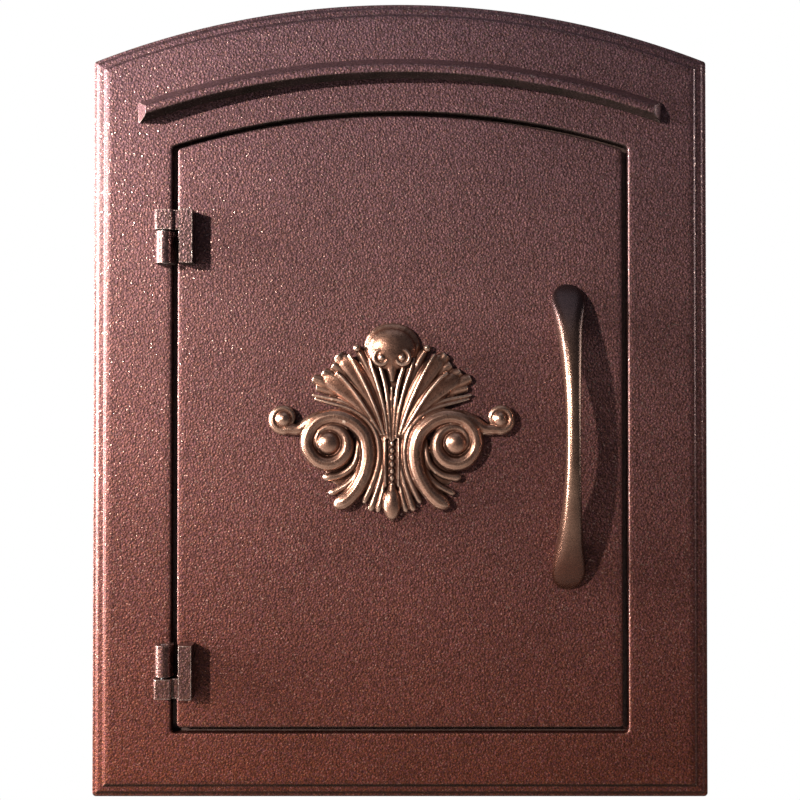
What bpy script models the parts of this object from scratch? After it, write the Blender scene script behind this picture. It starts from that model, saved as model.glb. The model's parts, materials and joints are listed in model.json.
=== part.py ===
"""Wall mounted mailbox: a cast arched faceplate with a side-hung door, on a folded steel box.

Metres, +Z up. The wall is the plane Y = 0 and the front faces -Y. X = 0 is the plate's middle
and Z = 0 is half-way up the plate.
"""

import math

import bmesh
import bpy
from mathutils import Matrix, Vector

# Driving dimensions
BOX_DEPTH = 0.200
PLATE_THICKNESS = 0.007
DOOR_THICKNESS = 0.006
SHEET = 0.0012
GAP = 0.0003

PLATE_BACK = -BOX_DEPTH
PLATE_FRONT = PLATE_BACK - PLATE_THICKNESS
DOOR_BACK = PLATE_FRONT + DOOR_THICKNESS

# Hinge, measured from its pin
PIN_X = -0.1364
PIN_Y = PLATE_FRONT - 0.0065
PIN_RADIUS = 0.0019
BARREL_RADIUS = 0.0051
LEAF_NEAR = 0.0093
LEAF_FAR = 0.0168
LEAF_PROUD = 0.0120
HINGE_HEIGHT = 0.031
KNUCKLE_HEIGHT = 0.012
KNUCKLE_GAP = 0.0006
UPPER_HINGE_BOTTOM = 0.0790
LOWER_HINGE_BOTTOM = -0.1722

# Drip hood
HOOD_RADIUS = 0.468
HOOD_TOP = 0.1999
HOOD_PROUD = 0.013
HOOD_SCREW_X = 0.100
HOOD_SCREW_LEVEL = 0.1925

# Handle
HANDLE_X = 0.0976
HANDLE_Z = -0.0214
HANDLE_HALF_LENGTH = 0.0890
HANDLE_PROUD = 0.031
HANDLE_SLIM = 0.00405
HANDLE_FLARE = 0.00830
HANDLE_ARCH = 0.0223
HANDLE_SCREW_T = 0.78

# Emblem
EMBLEM_X = -0.0047
EMBLEM_Z = -0.0203
EMBLEM_SCREW_X = 0.0370
EMBLEM_SCREW_Z = -0.0047

# Magnetic catch, level with the handle
CATCH_X = 0.112
CATCH_Z = -0.020
CATCH_FRONT = DOOR_BACK + 0.0025

# Screws: radius of the shank, then of the pilot hole or the clearance hole it needs
FLUSH_SMALL = 0.0011
FLUSH_MEDIUM = 0.0015
PAN_SMALL = 0.0015
PAN_MEDIUM = 0.0019
PAN_LARGE = 0.0025
HEAD_RATIO = 1.9
PILOT_TINY = 0.0014
PILOT_SMALL = 0.0018
PILOT_MEDIUM = 0.0022
PILOT_LARGE = 0.0028
RIVET_HOLE = 0.0019
WALL_HOLE = 0.00325
DRAIN_HOLE = 0.003
BLIND_DEPTH = 0.0052
HEAD_SINK = 0.0002

ARCH_STEPS = 20
CORNER_STEPS = 3
ROUND_STEPS = 12
BARREL_STEPS = 12
HOOD_STEPS = 24
HANDLE_STEPS = 32
HANDLE_SIDES = 16
LOBE_SIDES = 14
LOBE_RINGS = 8

PARTS = "wall_mounted_mailbox"
CUTTERS = "cutters"


class ArchedOutline:
    """A rectangle with an arched top and rounded corners, in an X-Z plane."""

    def __init__(self, half_width, bottom, apex, radius, corner):
        self.half_width = half_width
        self.bottom = bottom
        self.arch_centre = apex - radius
        self.radius = radius
        self.corner = corner

    def top_half(self, inset):
        """Right side over the arch to the left side, open at the bottom."""
        corner = max(self.corner - inset, 0.0004)
        side = self.half_width - inset - corner
        reach = self.radius - inset - corner
        height = self.arch_centre + math.sqrt(reach**2 - side**2)
        lean = math.atan2(height - self.arch_centre, side)
        right = arc((side, height), corner, 0.0, lean, CORNER_STEPS)
        arch_radius = self.radius - inset
        arch = arc((0.0, self.arch_centre), arch_radius, lean, math.pi - lean, ARCH_STEPS)
        left = arc((-side, height), corner, math.pi - lean, math.pi, CORNER_STEPS)
        return right + arch[1:-1] + left

    def bottom_half(self, inset):
        """The two lower corners, from the left side to the right side."""
        corner = max(self.corner - inset, 0.0004)
        side = self.half_width - inset - corner
        height = self.bottom + inset + corner
        left = arc((-side, height), corner, math.pi, 1.5 * math.pi, CORNER_STEPS)
        right = arc((side, height), corner, 1.5 * math.pi, 2.0 * math.pi, CORNER_STEPS)
        return left + right

    def loop(self, inset, y):
        """The closed outline, drawn in by inset, at depth y."""
        flat = self.top_half(inset) + self.bottom_half(inset)
        return [Vector((x, y, z)) for x, z in flat]

    def hoop(self, inset, y, bottom):
        """The sides and the arched top only, down to the height bottom."""
        flat = self.top_half(inset)
        side = self.half_width - inset
        flat = [(side, bottom)] + flat + [(-side, bottom)]
        return [Vector((x, y, z)) for x, z in flat]


def arc(centre, radius, start, end, steps):
    points = []
    for i in range(steps + 1):
        angle = start + (end - start) * i / steps
        points.append((centre[0] + radius * math.cos(angle), centre[1] + radius * math.sin(angle)))
    return points


PLATE = ArchedOutline(0.1804, -0.2322, 0.2336, 0.4940, 0.0022)
OPENING = ArchedOutline(0.1334, -0.1940, 0.1689, 0.4440, 0.0025)
DOOR = ArchedOutline(0.1300, -0.1908, 0.1665, 0.4415, 0.0022)

# Distances outwards from the door opening, and levels of the folded box
SHELL_OFFSET = 0.0130
PAN_OFFSET = SHELL_OFFSET - SHEET - GAP
STOP_OFFSET = 0.0108
FLANGE_WIDTH = 0.014
FLANGE_FRONT = PLATE_BACK + GAP
FLOOR_TOP = OPENING.bottom - PAN_OFFSET - 0.0004
FLOOR_HALF_WIDTH = OPENING.half_width + SHELL_OFFSET - SHEET - GAP
STOP_SHEET = 0.0015
STOP_BACK = FLANGE_FRONT + STOP_SHEET


def clear_scene():
    for thing in list(bpy.data.objects):
        bpy.data.objects.remove(thing, do_unlink=True)


def make_collection(name):
    collection = bpy.data.collections.new(name)
    bpy.context.scene.collection.children.link(collection)
    return collection


def make_finish(name, colour, roughness, metallic):
    finish = bpy.data.materials.new(name)
    finish.use_nodes = True
    shader = finish.node_tree.nodes["Principled BSDF"]
    shader.inputs["Base Color"].default_value = (*colour, 1.0)
    shader.inputs["Roughness"].default_value = roughness
    shader.inputs["Metallic"].default_value = metallic
    return finish


def add_object(name, mesh, finish, collection=PARTS):
    thing = bpy.data.objects.new(name, mesh)
    bpy.data.collections[collection].objects.link(thing)
    if finish:
        mesh.materials.append(finish)
    return thing


def add_bmesh(name, bm, finish, collection=PARTS, smooth=False):
    bmesh.ops.recalc_face_normals(bm, faces=bm.faces)
    mesh = bpy.data.meshes.new(name)
    bm.to_mesh(mesh)
    bm.free()
    if smooth:
        mesh.shade_smooth()
        mesh.set_sharp_from_angle(angle=math.radians(35))
    return add_object(name, mesh, finish, collection)


def skin(bm, rows, wrap_rows, wrap_points):
    """Join rows of points, all of one length, into a surface."""
    grid = [[bm.verts.new(point) for point in row] for row in rows]
    row_pairs = list(zip(grid, grid[1:]))
    if wrap_rows:
        row_pairs.append((grid[-1], grid[0]))
    for near, far in row_pairs:
        count = len(near) if wrap_points else len(near) - 1
        for i in range(count):
            j = (i + 1) % len(near)
            bm.faces.new((near[i], near[j], far[j], far[i]))
    return grid


def loft_solid(name, rings, finish, smooth=False):
    """A solid through closed rings, capped at both ends."""
    bm = bmesh.new()
    grid = skin(bm, rings, wrap_rows=False, wrap_points=True)
    bm.faces.new(list(reversed(grid[0])))
    bm.faces.new(grid[-1])
    return add_bmesh(name, bm, finish, smooth=smooth)


def loft_frame(name, rings, finish):
    """A picture-frame solid: rings run round its section and meet again."""
    bm = bmesh.new()
    skin(bm, rings, wrap_rows=True, wrap_points=True)
    return add_bmesh(name, bm, finish)


def box(name, low, high, finish, bevel=0.0):
    bm = bmesh.new()
    bmesh.ops.create_cube(bm, size=1.0)
    size = Vector(high) - Vector(low)
    bmesh.ops.scale(bm, vec=size, verts=bm.verts)
    bmesh.ops.translate(bm, vec=(Vector(high) + Vector(low)) / 2, verts=bm.verts)
    thing = add_bmesh(name, bm, finish)
    if bevel:
        add_bevel(thing, bevel, 2)
    return thing


def prism(name, outline, bottom, top, finish):
    """An X-Y outline pulled up from the height bottom to the height top."""
    rings = [[Vector((x, y, z)) for x, y in outline] for z in (bottom, top)]
    return loft_solid(name, rings, finish)


def add_bevel(thing, width, segments, angle=40):
    bevel = thing.modifiers.new("rounded_edges", "BEVEL")
    bevel.width = width
    bevel.segments = segments
    bevel.limit_method = "ANGLE"
    bevel.angle_limit = math.radians(angle)


def fold_sheet(name, bm, side, finish):
    """Give a drawn surface the sheet's thickness: side 1 grows along its normals, -1 against."""
    mesh = bpy.data.meshes.new(name)
    bm.to_mesh(mesh)
    bm.free()
    thing = add_object(name, mesh, finish)
    solid = thing.modifiers.new("sheet_thickness", "SOLIDIFY")
    solid.thickness = SHEET
    solid.offset = side
    solid.use_even_offset = True
    return thing


def boolean(thing, other, operation):
    cut = thing.modifiers.new(other.name, "BOOLEAN")
    cut.operation = operation
    cut.object = other
    hide_guide(other)


def hide_guide(guide):
    guide.hide_render = True
    guide.display_type = "WIRE"


def drill(thing, holes):
    """Cut round holes. A hole is its two end points and the radius at each end."""
    bm = bmesh.new()
    for start, end, start_radius, end_radius in holes:
        start = Vector(start)
        end = Vector(end)
        direction = end - start
        turn = direction.to_track_quat("Z", "Y").to_matrix().to_4x4()
        bmesh.ops.create_cone(
            bm,
            cap_ends=True,
            segments=ROUND_STEPS,
            radius1=start_radius,
            radius2=end_radius,
            depth=direction.length,
            matrix=Matrix.Translation((start + end) / 2) @ turn,
        )
    cutter = add_bmesh(thing.name + "_holes", bm, None, CUTTERS)
    boolean(thing, cutter, "DIFFERENCE")
    thing.modifiers[-1].use_self = True


def turned_mesh(name, profile, cross_recess=0.0):
    """A turned piece on the Z axis from a profile of (radius, height), with an optional recess."""
    mesh = bpy.data.meshes.new(name + "_profile")
    points = [(radius, 0.0, height) for radius, height in profile]
    mesh.from_pydata(points, [(i, i + 1) for i in range(len(points) - 1)], [])
    blank = add_object(name + "_blank", mesh, None, CUTTERS)
    turn = blank.modifiers.new("turned", "SCREW")
    turn.steps = ROUND_STEPS
    turn.render_steps = ROUND_STEPS
    turn.use_merge_vertices = True
    turn.merge_threshold = 0.00001
    if cross_recess:
        boolean(blank, recess_cutter(name, profile[0][1], cross_recess), "DIFFERENCE")
    bpy.context.view_layer.update()
    graph = bpy.context.evaluated_depsgraph_get()
    turned = bpy.data.meshes.new_from_object(blank.evaluated_get(graph))
    turned.name = name
    turned.shade_smooth()
    turned.set_sharp_from_angle(angle=math.radians(35))
    bpy.data.objects.remove(blank)
    return turned


def recess_cutter(name, top, reach):
    """A cross of two bars that sinks the driver's recess into a screw head."""
    slot = reach * 0.32
    outline = [
        (reach, -slot), (reach, slot), (slot, slot), (slot, reach), (-slot, reach), (-slot, slot),
        (-reach, slot), (-reach, -slot), (-slot, -slot), (-slot, -reach), (slot, -reach), (slot, -slot),
    ]
    return prism(name + "_recess", outline, top - reach * 0.75, top + reach, None)


def place_turned(name, mesh, finish, point, direction):
    """Set a turned piece down: its Z axis, from shank to head, looks along direction."""
    thing = bpy.data.objects.new(name, mesh)
    bpy.data.collections[PARTS].objects.link(thing)
    if not mesh.materials:
        mesh.materials.append(finish)
    thing.location = point
    thing.rotation_mode = "QUATERNION"
    thing.rotation_quaternion = Vector(direction).to_track_quat("Z", "Y")
    return thing


def pan_screw(name, shank, length):
    """Pan head screw. Z = 0 is under the head."""
    head = shank * HEAD_RATIO
    height = shank * 1.3
    profile = [
        (0.0, height), (head * 0.62, height), (head * 0.9, height * 0.72), (head, height * 0.3),
        (head, 0.0), (shank, 0.0), (shank, -length + shank * 0.4), (shank * 0.6, -length), (0.0, -length),
    ]
    return turned_mesh(name, profile, head * 0.55)


def flush_screw(name, shank, length):
    """Countersunk screw. Z = 0 is the top of its head."""
    head = shank * HEAD_RATIO
    profile = [
        (0.0, 0.0), (head, 0.0), (head, -shank * 0.2), (shank, -shank * 1.1),
        (shank, -length + shank * 0.4), (shank * 0.6, -length), (0.0, -length),
    ]
    return turned_mesh(name, profile, head * 0.5)


def make_faceplate(finish):
    moulding = (
        (0.0, PLATE_BACK), (0.0, PLATE_FRONT + 0.0057), (0.0004, PLATE_FRONT + 0.0053),
        (0.0016, PLATE_FRONT + 0.0052), (0.0036, PLATE_FRONT + 0.0030), (0.0064, PLATE_FRONT + 0.0028),
        (0.0080, PLATE_FRONT + 0.0005), (0.0088, PLATE_FRONT),
    )
    mouth = (
        (-0.0008, PLATE_FRONT), (-0.0002, PLATE_FRONT + 0.0002), (0.0, PLATE_FRONT + 0.0008),
        (0.0, PLATE_BACK),
    )
    rings = [PLATE.loop(inset, y) for inset, y in moulding]
    rings += [OPENING.loop(inset, y) for inset, y in mouth]
    return loft_frame("faceplate", rings, finish)


def hood_level(apex, x):
    """Height at x of the hood's arc whose top is at apex."""
    radius = HOOD_RADIUS + apex - HOOD_TOP
    return apex - radius + math.sqrt(radius**2 - x**2)


def make_hood(finish):
    """Arched drip ledge: sloped top, upright front edge, level underside, drafted ends."""
    back = PLATE_FRONT - GAP
    front = PLATE_FRONT - HOOD_PROUD
    section = (
        (back, HOOD_TOP, 0.1530), (front + 0.0008, 0.1936, 0.1470), (front, 0.1930, 0.1466),
        (front, 0.1886, 0.1466), (front + 0.0006, 0.1882, 0.1468), (back, 0.1882, 0.1530),
    )
    rings = []
    for i in range(HOOD_STEPS + 1):
        along = 2.0 * i / HOOD_STEPS - 1.0
        ring = []
        for y, apex, half_length in section:
            x = half_length * along
            ring.append(Vector((x, y, hood_level(apex, x))))
        rings.append(ring)
    hood = loft_solid("drip_hood", rings, finish)
    holes = []
    for side in (-1, 1):
        x = side * HOOD_SCREW_X
        z = hood_level(HOOD_SCREW_LEVEL, x)
        holes.append(((x, back + 0.002, z), (x, back - 0.006, z), PILOT_SMALL, PILOT_SMALL))
    drill(hood, holes)
    return hood


def make_box_shell(finish):
    """Sides and arched top in one folded sheet, with a flange turned out at the front."""
    bottom = FLOOR_TOP - SHEET - 0.0004
    inside = SHEET - SHELL_OFFSET
    rows = (
        (-SHELL_OFFSET - FLANGE_WIDTH, FLANGE_FRONT), (inside - 0.0022, FLANGE_FRONT),
        (inside - 0.0007, FLANGE_FRONT + 0.0007), (inside, FLANGE_FRONT + 0.0022),
        (inside, -0.0006),
    )
    bm = bmesh.new()
    hoops = [OPENING.hoop(inset, y, bottom) for inset, y in rows]
    skin(bm, hoops, wrap_rows=False, wrap_points=False)
    return fold_sheet("box_shell", bm, -1, finish)


def make_back_panel(finish):
    """Shallow pan whose face lies on the wall and whose rim fits inside the shell."""
    rim = (
        (-PAN_OFFSET, -FLANGE_WIDTH), (-PAN_OFFSET, -0.0020), (-PAN_OFFSET + 0.0006, -0.0006),
        (-PAN_OFFSET + 0.0020, 0.0),
    )
    bm = bmesh.new()
    grid = skin(bm, [OPENING.loop(inset, y) for inset, y in rim], False, True)
    bm.faces.new(grid[-1])
    return fold_sheet("back_panel", bm, 1, finish)


def make_floor_pan(finish):
    """Floor with turned-up sides and a turned-down front flange."""
    half = FLOOR_HALF_WIDTH
    low = FLOOR_TOP - SHEET
    front = FLANGE_FRONT + SHEET
    bm = bmesh.new()
    corners = [(-half, front, low), (half, front, low), (half, -0.016, low), (-half, -0.016, low)]
    front_left, front_right, back_right, back_left = [bm.verts.new(point) for point in corners]
    base = bm.faces.new((front_left, back_left, back_right, front_right))
    pulls = (
        ((front_left, front_right), (0.0, 0.0, -0.0130)),
        ((back_right, back_left), (0.0, 0.0154, 0.0)),
    )
    for ends, move in pulls:
        pull_edge(bm, ends, move)
    side_pulls = (((front_right, back_right), half), ((back_left, front_left), -half))
    for ends, x in side_pulls:
        upper = [bm.verts.new((x, y, low + FLANGE_WIDTH)) for y in (end.co.y for end in ends)]
        bm.faces.new((ends[0], ends[1], upper[1], upper[0]))
    bmesh.ops.recalc_face_normals(bm, faces=bm.faces)
    if base.normal.z > 0.0:
        bmesh.ops.reverse_faces(bm, faces=bm.faces)
    return fold_sheet("floor_pan", bm, -1, finish)


def pull_edge(bm, ends, move):
    """Fold a flange out of the edge between two corners."""
    edge = bm.edges.get(ends)
    pulled = bmesh.ops.extrude_edge_only(bm, edges=[edge])
    verts = [part for part in pulled["geom"] if isinstance(part, bmesh.types.BMVert)]
    bmesh.ops.translate(bm, vec=move, verts=verts)


def make_stop_frame(finish):
    """Flat steel frame behind the opening, which the door closes on."""
    rings = [
        OPENING.loop(-STOP_OFFSET, FLANGE_FRONT), OPENING.loop(0.0110, FLANGE_FRONT),
        OPENING.loop(0.0110, STOP_BACK), OPENING.loop(-STOP_OFFSET, STOP_BACK),
    ]
    return loft_frame("stop_frame", rings, finish)


def make_door_seal(finish):
    """Flat rubber strip glued round the stop frame, under the door's rim."""
    back = FLANGE_FRONT - GAP
    front = DOOR_BACK + GAP
    rings = [
        OPENING.loop(0.0048, back), OPENING.loop(0.0048, front),
        OPENING.loop(0.0100, front), OPENING.loop(0.0100, back),
    ]
    return loft_frame("door_seal", rings, finish)


def make_door(finish):
    edge = (
        (0.0, DOOR_BACK), (0.0, PLATE_FRONT + 0.0009), (0.0003, PLATE_FRONT + 0.0002),
        (0.0010, PLATE_FRONT),
    )
    return loft_solid("door_panel", [DOOR.loop(inset, y) for inset, y in edge], finish)


def handle_section(t):
    """Half width, underside height and front height of the bow at t, from -1 to 1."""
    reach = abs(t)
    tip = math.sqrt(max(0.0, 1.0 - max(0.0, (reach - 0.82) / 0.18) ** 2))
    half_width = (HANDLE_SLIM + HANDLE_FLARE * reach**2.2) * (0.06 + 0.94 * tip)
    front = HANDLE_PROUD * max(0.0, 1.0 - reach**2.3) ** 0.85
    front = max(front, 0.0006)
    underside = max(0.0, HANDLE_ARCH * (1.0 - (reach / 0.70) ** 2))
    return half_width, min(underside, front - 0.0004), front


def make_handle(finish):
    """Bow pull: broad rounded feet on the door and a slim round middle."""
    face = PLATE_FRONT - GAP
    rings = []
    for i in range(HANDLE_STEPS + 1):
        t = math.sin(math.pi / 2 * (2.0 * i / HANDLE_STEPS - 1.0))
        half_width, underside, front = handle_section(t)
        middle = (underside + front) / 2
        thick = (front - underside) / 2
        z = HANDLE_Z + HANDLE_HALF_LENGTH * t
        ring = []
        for k in range(HANDLE_SIDES):
            angle = 2 * math.pi * k / HANDLE_SIDES
            x = HANDLE_X + half_width * math.cos(angle)
            y = face - middle - thick * math.sin(angle)
            ring.append(Vector((x, y, z)))
        rings.append(ring)
    handle = loft_solid("handle", rings, finish, smooth=True)
    drill(handle, blind_holes(face, handle_screw_spots(), 0.0085, PILOT_LARGE))
    return handle


def flat_ball(name, x, z, half_width, half_height, proud, turn=0.0):
    """A flattened ball for the emblem, turned in the plane of the door."""
    bm = bmesh.new()
    bmesh.ops.create_uvsphere(bm, u_segments=LOBE_SIDES, v_segments=LOBE_RINGS, radius=1.0)
    bmesh.ops.scale(bm, vec=(half_width, half_height, proud), verts=bm.verts)
    spin = Matrix.Rotation(turn, 4, "Z")
    stand = Matrix.Rotation(math.radians(90), 4, "X")
    place = Matrix.Translation((EMBLEM_X + x, PLATE_FRONT, EMBLEM_Z + z))
    bmesh.ops.transform(bm, matrix=place @ stand @ spin, verts=bm.verts)
    return add_bmesh(name, bm, None, CUTTERS)


def petal(name, root, tip, half_width, proud):
    """A long lobe of the emblem from its root to its tip, both (x, z)."""
    along = Vector(tip) - Vector(root)
    middle = (Vector(tip) + Vector(root)) / 2
    turn = math.atan2(-along.x, along.y)
    return flat_ball(name, middle.x, middle.y, half_width, along.length / 2, proud, turn)


def make_emblem(finish):
    """Plain body of the scroll-and-leaf ornament: overlapping lobes with a flat back."""
    core = flat_ball("emblem", 0.0, 0.000, 0.0100, 0.0500, 0.0060)
    bpy.data.collections[CUTTERS].objects.unlink(core)
    bpy.data.collections[PARTS].objects.link(core)
    core.data.materials.append(finish)
    lobes = [
        flat_ball("dome", 0.0, 0.0512, 0.0142, 0.0140, 0.0086),
        flat_ball("pendant", 0.0, -0.0402, 0.0058, 0.0106, 0.0064),
        flat_ball("web", 0.0, 0.0190, 0.0300, 0.0240, 0.0036),
    ]
    for side in (-1, 1):
        petals = (
            ((0.001, 0.000), (0.0155, 0.0540), 0.0032, 0.0052),
            ((0.003, 0.004), (0.0215, 0.0510), 0.0040, 0.0056),
            ((0.003, 0.002), (0.0325, 0.0475), 0.0050, 0.0058),
            ((0.004, 0.000), (0.0360, 0.0405), 0.0044, 0.0054),
            ((0.005, 0.000), (0.0415, 0.0360), 0.0048, 0.0056),
            ((0.006, 0.000), (0.0470, 0.0320), 0.0042, 0.0052),
            ((0.006, 0.004), (0.0480, 0.0215), 0.0038, 0.0046),
            ((0.018, 0.0105), (0.0640, 0.0045), 0.0050, 0.0062),
            ((0.013, 0.0060), (0.0300, -0.0420), 0.0050, 0.0064),
            ((0.004, -0.006), (0.0172, -0.0400), 0.0034, 0.0052),
            ((0.003, -0.016), (0.0128, -0.0445), 0.0026, 0.0050),
            ((0.016, -0.012), (0.0400, -0.0250), 0.0040, 0.0048),
            ((0.016, -0.020), (0.0368, -0.0340), 0.0034, 0.0046),
        )
        for number, (root, tip, half_width, proud) in enumerate(petals):
            root = (side * root[0], root[1])
            tip = (side * tip[0], tip[1])
            lobes.append(petal(f"petal_{side}_{number}", root, tip, half_width, proud))
        lobes.append(flat_ball(f"volute_{side}", side * 0.0370, -0.0047, 0.0160, 0.0160, 0.0078))
        lobes.append(flat_ball(f"tip_{side}", side * 0.0626, 0.0092, 0.0090, 0.0090, 0.0066))
    for lobe in lobes:
        boolean(core, lobe, "UNION")
    behind = box("emblem_flat_back", (-0.2, PLATE_FRONT - GAP, -0.2), (0.2, 0.0, 0.2), None)
    move_to_cutters(behind)
    boolean(core, behind, "DIFFERENCE")
    drill(core, blind_holes(PLATE_FRONT, emblem_screw_spots(), 0.0045, PILOT_SMALL))
    return core


def emblem_screw_spots():
    return [(EMBLEM_X + side * EMBLEM_SCREW_X, EMBLEM_Z + EMBLEM_SCREW_Z) for side in (-1, 1)]


def move_to_cutters(thing):
    bpy.data.collections[PARTS].objects.unlink(thing)
    bpy.data.collections[CUTTERS].objects.link(thing)
    hide_guide(thing)


def pin_bore(bottom, height):
    """Through hole along the hinge axis for the pin."""
    clearance = PIN_RADIUS + GAP
    start = (PIN_X, PIN_Y, bottom - 0.01)
    end = (PIN_X, PIN_Y, bottom + height + 0.01)
    return (start, end, clearance, clearance)


def make_frame_knuckle(name, bottom, finish):
    """Long barrel on the faceplate: round in front, straight-sided down to the plate."""
    height = HINGE_HEIGHT - KNUCKLE_HEIGHT - KNUCKLE_GAP
    outline = [(PIN_X - BARREL_RADIUS, PLATE_FRONT - GAP)]
    outline += arc((PIN_X, PIN_Y), BARREL_RADIUS, math.pi, 2 * math.pi, BARREL_STEPS)
    outline.append((PIN_X + BARREL_RADIUS, PLATE_FRONT - GAP))
    knuckle = prism(name, outline, bottom, bottom + height, finish)
    screws = blind_holes(PLATE_FRONT, knuckle_screw_spots(bottom), 0.0040, PILOT_TINY)
    drill(knuckle, [pin_bore(bottom, height)] + screws)
    return knuckle


def knuckle_screw_spots(bottom):
    middle = bottom + (HINGE_HEIGHT - KNUCKLE_HEIGHT) / 2
    return [(PIN_X - 0.0010, middle + step) for step in (-0.0055, 0.0055)]


def make_door_leaf(name, leaf_bottom, knuckle_bottom, finish):
    """Upright block on the door, with a short knuckle reaching over the gap to the pin."""
    near = PIN_X + LEAF_NEAR
    far = PIN_X + LEAF_FAR
    low = (near, PLATE_FRONT - LEAF_PROUD, leaf_bottom)
    high = (far, PLATE_FRONT - GAP, leaf_bottom + HINGE_HEIGHT)
    leaf = box(name, low, high, finish)
    front = PIN_Y - BARREL_RADIUS
    back = PIN_Y + BARREL_RADIUS - 0.0004
    web_front = PIN_Y - 0.0022
    outline = [
        (PIN_X - BARREL_RADIUS, PIN_Y), (PIN_X - BARREL_RADIUS, front + 0.0012),
        (PIN_X - BARREL_RADIUS + 0.0012, front), (PIN_X + BARREL_RADIUS - 0.0008, front),
        (PIN_X + BARREL_RADIUS, front + 0.0008), (PIN_X + BARREL_RADIUS, web_front),
        (near + 0.003, web_front), (near + 0.003, back), (PIN_X, back),
        (PIN_X - BARREL_RADIUS * 0.7, back - 0.0013),
    ]
    low_end = knuckle_bottom + KNUCKLE_GAP / 2
    high_end = knuckle_bottom + KNUCKLE_HEIGHT - KNUCKLE_GAP / 2
    knuckle = prism(name + "_knuckle", outline, low_end, high_end, None)
    move_to_cutters(knuckle)
    boolean(leaf, knuckle, "UNION")
    screws = blind_holes(PLATE_FRONT, leaf_screw_spots(leaf_bottom), 0.0080, PILOT_SMALL)
    drill(leaf, [pin_bore(knuckle_bottom, KNUCKLE_HEIGHT)] + screws)
    return leaf


def leaf_screw_spots(bottom):
    x = PIN_X + (LEAF_NEAR + LEAF_FAR) / 2
    return [(x, bottom + HINGE_HEIGHT / 2 + step) for step in (-0.009, 0.009)]


def make_hinges(cast, steel, screw_small, screw_medium):
    """Both hinges. The lower one is the upper one mirrored top to bottom."""
    screws = []
    layout = (
        ("upper", UPPER_HINGE_BOTTOM, 0.0, HINGE_HEIGHT - KNUCKLE_HEIGHT),
        ("lower", LOWER_HINGE_BOTTOM, KNUCKLE_HEIGHT + KNUCKLE_GAP, 0.0),
    )
    for label, bottom, barrel_step, knuckle_step in layout:
        make_frame_knuckle(label + "_frame_knuckle", bottom + barrel_step, cast)
        make_door_leaf(label + "_door_leaf", bottom, bottom + knuckle_step, cast)
        pin = turned_mesh(label + "_hinge_pin_mesh", [
            (0.0, HINGE_HEIGHT), (PIN_RADIUS - 0.0004, HINGE_HEIGHT), (PIN_RADIUS, HINGE_HEIGHT - 0.0004),
            (PIN_RADIUS, 0.0004), (PIN_RADIUS - 0.0004, 0.0), (0.0, 0.0),
        ])
        place_turned(label + "_hinge_pin", pin, steel, (PIN_X, PIN_Y, bottom), (0, 0, 1))
        for number, (x, z) in enumerate(knuckle_screw_spots(bottom + barrel_step), 1):
            name = f"{label}_knuckle_screw_{number}"
            place_turned(name, screw_small, steel, (x, PLATE_BACK - HEAD_SINK, z), (0, 1, 0))
            screws.append((x, z, FLUSH_SMALL, "faceplate"))
        for number, (x, z) in enumerate(leaf_screw_spots(bottom), 1):
            name = f"{label}_leaf_screw_{number}"
            place_turned(name, screw_medium, steel, (x, DOOR_BACK - HEAD_SINK, z), (0, 1, 0))
            screws.append((x, z, FLUSH_MEDIUM, "door_panel"))
    return screws


def flush_holes(face, spots):
    """Through holes with a countersink that opens towards the wall."""
    holes = []
    for x, z, shank in spots:
        head = shank * HEAD_RATIO
        holes.append(((x, face - 0.02, z), (x, face + 0.01, z), shank + GAP, shank + GAP))
        sink_start = face - HEAD_SINK - shank * 1.1 - GAP
        slope = (head - shank) / (shank * 0.9)
        reach = face + 0.001 - sink_start
        holes.append(((x, sink_start, z), (x, face + 0.001, z), shank + GAP, shank + GAP + slope * reach))
    return holes


def blind_holes(face, spots, depth, radius):
    return [((x, face + 0.002, z), (x, face - depth, z), radius, radius) for x, z in spots]


def flange_screw_spots():
    """Eight spots in the middle of the shell's and the floor's front flange."""
    side = OPENING.half_width + SHELL_OFFSET + 0.008
    top_radius = OPENING.radius + SHELL_OFFSET + 0.008
    top = OPENING.arch_centre + math.sqrt(top_radius**2 - 0.05**2)
    spots = [(sign * side, z) for sign in (-1, 1) for z in (0.100, -0.120)]
    spots += [(sign * 0.050, top) for sign in (-1, 1)]
    spots += [(sign * 0.090, FLOOR_TOP - SHEET - 0.0070) for sign in (-1, 1)]
    return spots


def stop_screw_spots():
    side = OPENING.half_width + 0.0060
    return [(side, CATCH_Z - 0.014), (side, CATCH_Z + 0.014), (-side, 0.020), (-side, -0.060)]


def wall_hole_spots():
    return [(x, z) for x in (-0.100, 0.100) for z in (-0.150, 0.110)]


def drain_holes():
    """Two small holes through the floor, a third of the way back."""
    holes = []
    for x in (-0.09, 0.09):
        holes.append(((x, -0.060, FLOOR_TOP + 0.004), (x, -0.060, FLOOR_TOP - 0.006), DRAIN_HOLE, DRAIN_HOLE))
    return holes


def rivet_spots():
    """Side rivets: one in the back panel's rim and two in the floor's upstand, each side."""
    floor_level = FLOOR_TOP + 0.0062
    return [(-0.0085, 0.0), (-0.055, floor_level), (-0.150, floor_level)]


def through_sheet(sign, y, z, radius):
    outside = OPENING.half_width + SHELL_OFFSET + 0.004
    return ((sign * outside, y, z), (sign * (outside - 0.010), y, z), radius, radius)


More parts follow.
